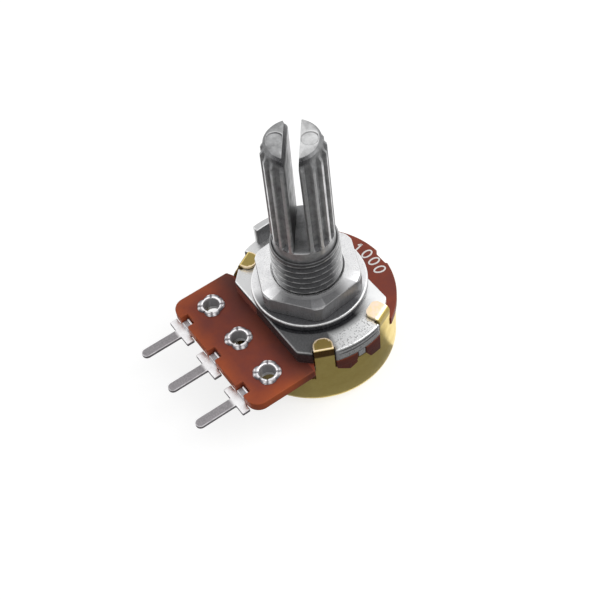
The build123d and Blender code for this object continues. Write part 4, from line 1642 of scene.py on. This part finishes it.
@dataclass
class RearCan:
    """The drawn can: a cup with a rounded back edge, open at the rivets, whose tabs fold over the plate."""

    radius: float = 8.35
    sheet: float = 0.4
    back: float = -8.6
    rim: float = -2.8
    edge_radius: float = 1.1
    wall_row: float = -5.9
    window_half: float = 7.0
    window_height: float = 1.5
    tab_half: float = 0.95
    board_top: float = -1.7
    face: float = 0.42
    tabs: tuple[CanTab, ...] = (
        CanTab(
            angle=RIGHT_TABS[0], lean=0.0, bend=0.3, length=1.42, tip=0.85,
            lid_highlight=0.0, lid_painted_shade=0.8, rim_highlight=1.0, fold_highlight=1.0, bend_painted_shade=1.0,
        ),
        CanTab(
            angle=RIGHT_TABS[1], lean=0.0, bend=0.6, length=1.75, tip=0.6,
            lid_highlight=0.95, lid_painted_shade=0.0, rim_highlight=0.3, fold_highlight=0.0, bend_painted_shade=0.5,
        ),
        *(
            CanTab(
                angle=angle, lean=0.8, bend=0.5, length=1.6, tip=0.85,
                lid_highlight=0.0, lid_painted_shade=0.68, rim_highlight=0.9, fold_highlight=0.0, bend_painted_shade=0.9,
            )
            for angle in LEFT_TABS
        ),
    )

    def wall_profile(self) -> Array:
        """Radius and height of the cup's outer surface, from the middle of its back to its rim."""
        inwards, upwards = quarter(10)
        e = self.edge_radius
        flat = np.column_stack([np.linspace(0.02, self.radius - e, 6)[:-1], np.full(5, self.back)])
        bend = np.column_stack([self.radius - e * (1 - upwards), self.back + e * inwards])
        sill = self.rim - self.window_height
        wall = [(self.radius, z) for z in (self.wall_row, sill, (sill + self.rim) / 2, self.rim)]
        return np.vstack([flat, bend, wall])

    def angles(self) -> Array:
        """Angles of the cup's columns: even steps, with more where a tab or the opening begins and ends."""
        half = math.degrees(math.asin(self.tab_half / self.radius))
        opening = math.degrees(math.asin(self.window_half / self.radius))
        spots = [np.arange(0.0, 360.0, 3.0), [270.0 - opening, 270.0 + opening]]
        spots += [tab.angle % 360.0 + np.linspace(-half, half, 13) for tab in self.tabs]
        a = np.unique(np.round(np.concatenate(spots) % 360.0, 4))
        return a[np.diff(a, append=a[0] + 360.0) > 0.12]

    def build(self, material: bpy.types.Material) -> None:
        """Builds the can: the cup's surface, each tab's surface, and the sheet's thickness over both."""
        profile = self.wall_profile()
        degrees = self.angles()
        a = np.radians(degrees)
        points = round_axis(profile[:, :1], a, profile[:, 1:])
        faces = quads(len(profile), len(a), False, True)
        middle = (degrees + (np.diff(degrees, append=degrees[0] + 360.0)) / 2) % 360.0
        opening = math.degrees(math.asin(self.window_half / self.radius))
        in_window = np.abs(middle - 270.0) < opening
        keep = np.ones(faces.shape[:2], bool)
        keep[-2:, in_window] = False
        shell = Shell()
        shell.add(points, faces[keep])
        shell.fan(points[0], np.array([0.0, 0.0, self.back]))
        for tab in self.tabs:
            self.tab(shell, tab)
        mesh = shell.mesh("can_surface", scale=1.0)
        finished = sheet_metal(mesh, self.sheet, 0.07)
        self.mark_folds(finished)
        piece = place(finished, "drawn_can", material, "body")
        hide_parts("rear_can")

    def tab(self, shell: Shell, tab: CanTab) -> None:
        """Adds one tab's outer surface.

        A point is at path(s) + t * half * width(s) along the tab's own side direction. The path rises from
        the rim, leans in, bends over a quarter circle and lies on the plate, and the width closes at the tip
        as a circle does. At the rim the strip keeps the wall's curve, which fades out above the board.

        Args:
            shell: The shell that takes the surface.
            tab: Its direction, sizes and looks.
        """
        fold = self.radius - tab.lean
        b = tab.bend
        turn = np.linspace(0.0, math.pi / 2, 7)
        straight = tab.length - b - tab.tip
        closing = np.sin(np.linspace(0.0, math.pi / 2, 9))[1:]
        reach = np.concatenate(
            [
                self.radius - tab.lean * np.array([0.0, 0.0, 0.5, 0.75]),
                [fold],
                (fold - b + b * np.cos(turn))[1:],
                [fold - b - straight],
                fold - b - straight - tab.tip * closing,
            ]
        )
        height = np.concatenate(
            [
                [self.rim, self.board_top, -0.85, -0.6, self.face - b],
                (self.face - b + b * np.sin(turn))[1:],
                [self.face],
                np.full(len(closing), self.face),
            ]
        )
        flat_end = self.tab_half - tab.tip
        tip = (flat_end + tab.tip * np.sqrt(1.0 - closing**2 * 0.9999)) / self.tab_half
        width = np.concatenate([np.ones(len(reach) - len(closing)), tip])
        side = self.tab_half * np.linspace(-1.0, 1.0, 13)
        sag = self.radius - np.sqrt(self.radius**2 - side**2)
        fade = np.interp(height, [self.board_top, -0.4], [1.0, 0.0])
        fade[5:] = 0.0
        along = reach[:, None] - sag * fade[:, None]
        across = side * width[:, None]
        c, s = math.cos(math.radians(tab.angle)), math.sin(math.radians(tab.angle))
        z = np.broadcast_to(height[:, None], along.shape)
        points = np.stack([along * c - across * s, along * s + across * c, z], axis=-1)
        shell.grid(points, wrap_columns=False)

    def mark_folds(self, mesh: bpy.types.Mesh) -> None:
        """Marks each tab: painted highlights on its lid, the lid's rim and the fold over the plate's edge,
        and painted shade on its lid and its bend.

        In a tab's own directions u is the distance from the axis and t the distance across. A lid's point
        is as far from the rim as half the width less t, or as the round end's radius less its distance from
        that end's middle. The painted highlight's line lies just under the lid's height, and the bend's
        painted shade below it.

        Args:
            mesh: The finished can, in metres.
        """
        points = np.empty(len(mesh.vertices) * 3, np.float32)
        mesh.vertices.foreach_get("co", points)
        x, y, z = points.reshape(-1, 3).T / MM
        edge, painted_shade = np.zeros_like(z), np.zeros_like(z)
        for tab in self.tabs:
            c, s = math.cos(math.radians(tab.angle)), math.sin(math.radians(tab.angle))
            u, t = x * c + y * s, np.abs(y * c - x * s)
            here = (u > 4.0) & (t < self.tab_half + 0.1) & (z > -0.9)
            fold = self.radius - tab.lean
            middle = fold - tab.length + tab.tip
            flat = self.tab_half - tab.tip
            off = np.hypot(u - middle, np.maximum(t - flat, 0.0))
            inwards = np.where(u > middle, self.tab_half - t, tab.tip - off)
            lid = u < fold - 0.7 * tab.bend
            rim = (inwards < 0.11) & (z > self.face - 0.09)
            foot = self.face - 0.2 * tab.bend - 0.02
            wear_and_highlight = tab.lid_highlight * np.interp(z, [foot, self.face - 0.01], [0.0, 1.0])
            line = tab.fold_highlight * np.exp(-(((z - self.face + 0.04) / 0.045) ** 2))
            bend = np.interp(z, [-0.85, -0.6, self.face - 0.15, self.face - 0.08], [0.0, 1.0, 1.0, 0.0])
            on_lid = np.where(rim, np.maximum(tab.rim_highlight, tab.lid_highlight), wear_and_highlight)
            edge = np.where(here, np.where(lid, on_lid, np.maximum(line, wear_and_highlight)), edge)
            under = np.where(z < self.face - 0.1, 1.0, np.where(rim, 0.0, tab.lid_painted_shade))
            painted_shade = np.where(here, np.where(lid, under, bend * tab.bend_painted_shade), painted_shade)
        for name, values in ((EDGE, edge), (PAINTED_SHADE, painted_shade)):
            attribute = mesh.attributes.get(name) or mesh.attributes.new(name, "FLOAT", "POINT")
            attribute.data.foreach_set("value", values.astype(np.float32))


@dataclass
class PrintedNumber:
    """A plain number printed in white on the board's round part, its tops outwards, read clockwise."""

    text: str = "1000"
    middle: float = 90.0
    baseline: float = 6.85
    height: float = 1.15
    width: float = 0.8
    spacing: float = 1.2
    stroke: float = 0.17
    low: float = -1.73
    high: float = -1.68

    def strokes(self, digit: str) -> Array:
        """Works out a digit's stroke in a unit box: a one's flag and stem, or a nought's oval.

        Args:
            digit: "1" or "0".

        Returns:
            Points along the stroke, closely spaced.
        """
        if digit == "1":
            corners = np.array([(0.18, 0.72), (0.5, 1.0), (0.5, 0.0)])
            steps = np.linspace(0.0, 2.0, 25)
            return np.stack([np.interp(steps, [0, 1, 2], corners[:, k]) for k in range(2)], axis=-1)
        t = np.linspace(0.0, TURN, 49)
        return np.stack([0.5 + 0.42 * np.cos(t), 0.5 + 0.5 * np.sin(t)], axis=-1)

    def build(self, material: bpy.types.Material) -> None:
        """Builds the number: each stroke is a flat ribbon, swept as a rectangle along the digit's line."""
        shell = Shell()
        radius = self.baseline + self.height / 2
        for place_in_text, digit in enumerate(self.text):
            line = self.strokes(digit)
            start = (place_in_text - (len(self.text) - 1) / 2) * self.spacing
            along = start + (line[:, 0] - 0.5) * self.width
            angle = math.radians(self.middle) - along / radius
            path = polar(self.baseline + line[:, 1] * self.height, angle)
            way = np.gradient(path, axis=0)
            way /= np.linalg.norm(way, axis=1, keepdims=True)
            side = np.stack([-way[:, 1], way[:, 0]], axis=-1) * self.stroke / 2
            corners = []
            for sign, z in ((1.0, self.low), (-1.0, self.low), (-1.0, self.high), (1.0, self.high)):
                corners.append(raised(path + sign * side, z))
            ribbon = np.stack(corners, axis=1)
            shell.grid(ribbon)
            for end in (ribbon[0], ribbon[-1]):
                shell.add(end, np.array([[0, 1, 2, 3]]))
        place(shell.mesh("printed_number"), "printed_number", material, "body")


@dataclass
class Studio:
    """A pale floor, soft light and the camera at the photograph's angle."""

    floor_z: float = -8.6
    azimuth: float = 61.16
    elevation: float = 53.101
    roll: float = -7.739
    distance: float = 99.348
    target: tuple[float, float, float] = (5.703, -4.457, 7.092)
    focal_px: float = 1115.711
    frame_px: float = 600.0
    sensor: float = 36.0
    floor_half: float = 600.0
    card_reach: float = 140.0
    table_level: float = 0.19
    side_level: float = 0.15
    lamp_distance: float = 0.5

    @staticmethod
    def direction(azimuth: float, elevation: float) -> Vector:
        """The direction towards an azimuth, counted from the front, and an elevation, both in degrees."""
        az, el = math.radians(azimuth), math.radians(elevation)
        return Vector((math.sin(az) * math.cos(el), -math.cos(az) * math.cos(el), math.sin(el)))

    def camera(self) -> None:
        """Places the camera: it looks at the target, rolled round its line of sight."""
        az, roll = math.radians(self.azimuth), math.radians(self.roll)
        back = self.direction(self.azimuth, self.elevation)
        right = Vector((math.cos(az), math.sin(az), 0.0))
        up = back.cross(right)
        across = right * math.cos(roll) + up * math.sin(roll)
        over = up * math.cos(roll) - right * math.sin(roll)
        data = bpy.data.cameras.new("photo_camera")
        data.sensor_width = self.sensor
        data.lens = self.focal_px * self.sensor / self.frame_px
        data.clip_start = 0.005
        data.clip_end = 10.0
        camera = put_in("photo_camera", data)
        turn = Matrix((across, over, back)).transposed().to_4x4()
        camera.matrix_world = Matrix.Translation((Vector(self.target) + back * self.distance) * MM) @ turn
        bpy.context.scene.camera = camera

    def world(self) -> None:
        """White to the camera and in reflections, and a plain level of light for everything else."""
        world = bpy.data.worlds.new("studio")
        bpy.context.scene.world = world
        world.use_nodes = True
        graph = Graph(world.node_tree)
        seen = graph.seen_directly()
        bright = world.node_tree.nodes["Background"]
        bright.inputs["Color"].default_value = (1.0, 1.0, 1.0, 1.0)
        bright.inputs["Strength"].default_value = 1.0
        plain = graph.add("ShaderNodeBackground", {"Color": (1.0, 1.0, 1.0, 1.0), "Strength": 0.55})
        mix = graph.add("ShaderNodeMixShader", {0: seen, 1: plain.outputs[0], 2: bright.outputs[0]})
        graph.link(mix.outputs[0], world.node_tree.nodes["World Output"].inputs["Surface"])

    def floor(self) -> None:
        """A pale floor that shows white where no shadow falls."""
        shell = Shell()
        x = np.linspace(-self.floor_half, self.floor_half, 3)
        grid = np.stack([*np.meshgrid(x, x), np.zeros((3, 3))], axis=-1)
        shell.grid(grid, wrap_columns=False)
        shell.shift(0.0, 0.0, self.floor_z - 0.02)
        mesh = shell.mesh("floor")
        material, graph = new_material("pale_floor")
        nodes = material.node_tree.nodes
        shader = nodes["Principled BSDF"]
        shader.inputs["Base Color"].default_value = (0.38, 0.38, 0.38, 1.0)
        shader.inputs["Roughness"].default_value = 1.0
        shader.inputs["Specular IOR Level"].default_value = 0.0
        seen = graph.seen_directly()
        glow = graph.add("ShaderNodeEmission", {"Color": (1.0, 1.0, 1.0, 1.0), "Strength": 0.72})
        nothing = graph.add("ShaderNodeEmission", {"Color": (0.0, 0.0, 0.0, 1.0), "Strength": 0.0})
        lift = graph.add("ShaderNodeMixShader", {0: seen, 1: nothing.outputs[0], 2: glow.outputs[0]})
        both = graph.add("ShaderNodeAddShader", {0: shader.outputs[0], 1: lift.outputs[0]})
        graph.link(both.outputs[0], nodes["Material Output"].inputs["Surface"])
        mesh.materials.append(material)
        floor = put_in("floor", mesh)

    def card(self, name: str, points: Array, level: float) -> None:
        """Adds a dark card that only reflections see, as a photographer sets round bright metal.

        Args:
            name: Name of the card.
            points: Its surface as a grid, in mm.
            level: How bright it looks in a reflection.
        """
        shell = Shell()
        shell.grid(points, wrap_columns=False)
        mesh = shell.mesh(name)
        material, graph = new_material(name)
        glow = graph.add("ShaderNodeEmission", {"Color": (level, level, level, 1.0), "Strength": 1.0})
        graph.link(glow.outputs[0], material.node_tree.nodes["Material Output"].inputs["Surface"])
        mesh.materials.append(material)
        card = put_in(name, mesh)
        card.visible_camera = False
        card.visible_diffuse = False
        card.visible_transmission = False
        card.visible_shadow = False

    def cards(self) -> None:
        """A dark card on the table round the part, and one standing behind the camera's side."""
        a = np.radians(self.azimuth - 90.0 + np.linspace(-100.0, 70.0, 41))
        r = np.array([8.6, 20.0, 60.0, self.card_reach])[:, None]
        self.card("table_card", round_axis(r, a, self.floor_z + 0.01), self.table_level)
        a = np.radians(self.azimuth - 90.0 + np.linspace(-75.0, 75.0, 31))
        z = np.array([-8.0, 10.0, 35.0, 60.0])[:, None]
        self.card("side_card", round_axis(self.card_reach, a, z), self.side_level)

    def lamp(self, name: str, azimuth: float, elevation: float, size: float, power: float) -> None:
        """Adds a soft square lamp that looks at the part.

        Args:
            name: Name of the lamp.
            azimuth: Direction of the lamp, as the camera's is counted, in degrees.
            elevation: Its height above the horizon, in degrees.
            size: Length of its side, in metres.
            power: Its power, in watts.
        """
        back = self.direction(azimuth, elevation)
        data = bpy.data.lights.new(name, "AREA")
        data.shape = "SQUARE"
        data.size = size
        data.energy = power
        lamp = put_in(name, data)
        lamp.location = back * self.lamp_distance
        lamp.rotation_mode = "QUATERNION"
        lamp.rotation_quaternion = back.to_track_quat("Z", "Y")

    def build(self) -> None:
        """Sets up the whole studio."""
        self.world()
        self.floor()
        self.cards()
        self.lamp("key", azimuth=150.0, elevation=50.0, size=0.35, power=1.1)
        self.lamp("fill", azimuth=330.0, elevation=45.0, size=0.4, power=0.4)
        self.camera()
        bpy.context.scene.view_settings.view_transform = "Standard"


def dress_cad_nodes(nodes: dict[str, bpy.types.Object]) -> None:
    """Gives the CAD nodes that stay in view their finishes.

    Args:
        nodes: The frame's nodes by name.
    """
    finishes = {
        "retaining_clip": STEEL,
        "carbon_track": CARBON,
        "collector_ring": SILVER,
        "silver_land_left": SILVER,
        "silver_land_right": SILVER,
        "wiper_carrier": CARRIER,
        "wiper_spring": SPRING,
    }
    made: dict[str, bpy.types.Material] = {}
    for name, finish in finishes.items():
        if finish.name not in made:
            made[finish.name] = finish.material()
        node = nodes[name]
        node.data.materials.clear()
        node.data.materials.append(made[finish.name])
        log.info("%s keeps its CAD shape", name)


def main() -> None:
    """Builds the potentiometer's pieces in order and its studio."""
    logging.basicConfig(level=logging.INFO, format="%(message)s")
    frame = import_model()
    build_effects()
    zinc = CAST_ZINC.material()
    plating = NUT_PLATE.material()
    tinned = TINNED.material()
    FrontPlate().build(zinc)
    SplinedShaft().build(SHAFT_ZINC.material())
    Washer().build(plating)
    HexNut().build(plating)
    Board().build(PHENOLIC.material())
    PrintedNumber().build(PRINT_INK.material())
    RearCan().build(CAN_PLATE.material())
    for name, node, x, phase in (
        ("solder_pin_left", "pin_left", -5.0, 1.05),
        ("solder_pin_wiper", "pin_wiper", 0.0, 1.12),
        ("solder_pin_right", "pin_right", 5.0, 0.98),
    ):
        SolderPin(name, node, x, phase).build(tinned)
    dress_cad_nodes(frame["nodes"])
    Studio().build()


if __name__ == "__main__":
    main()
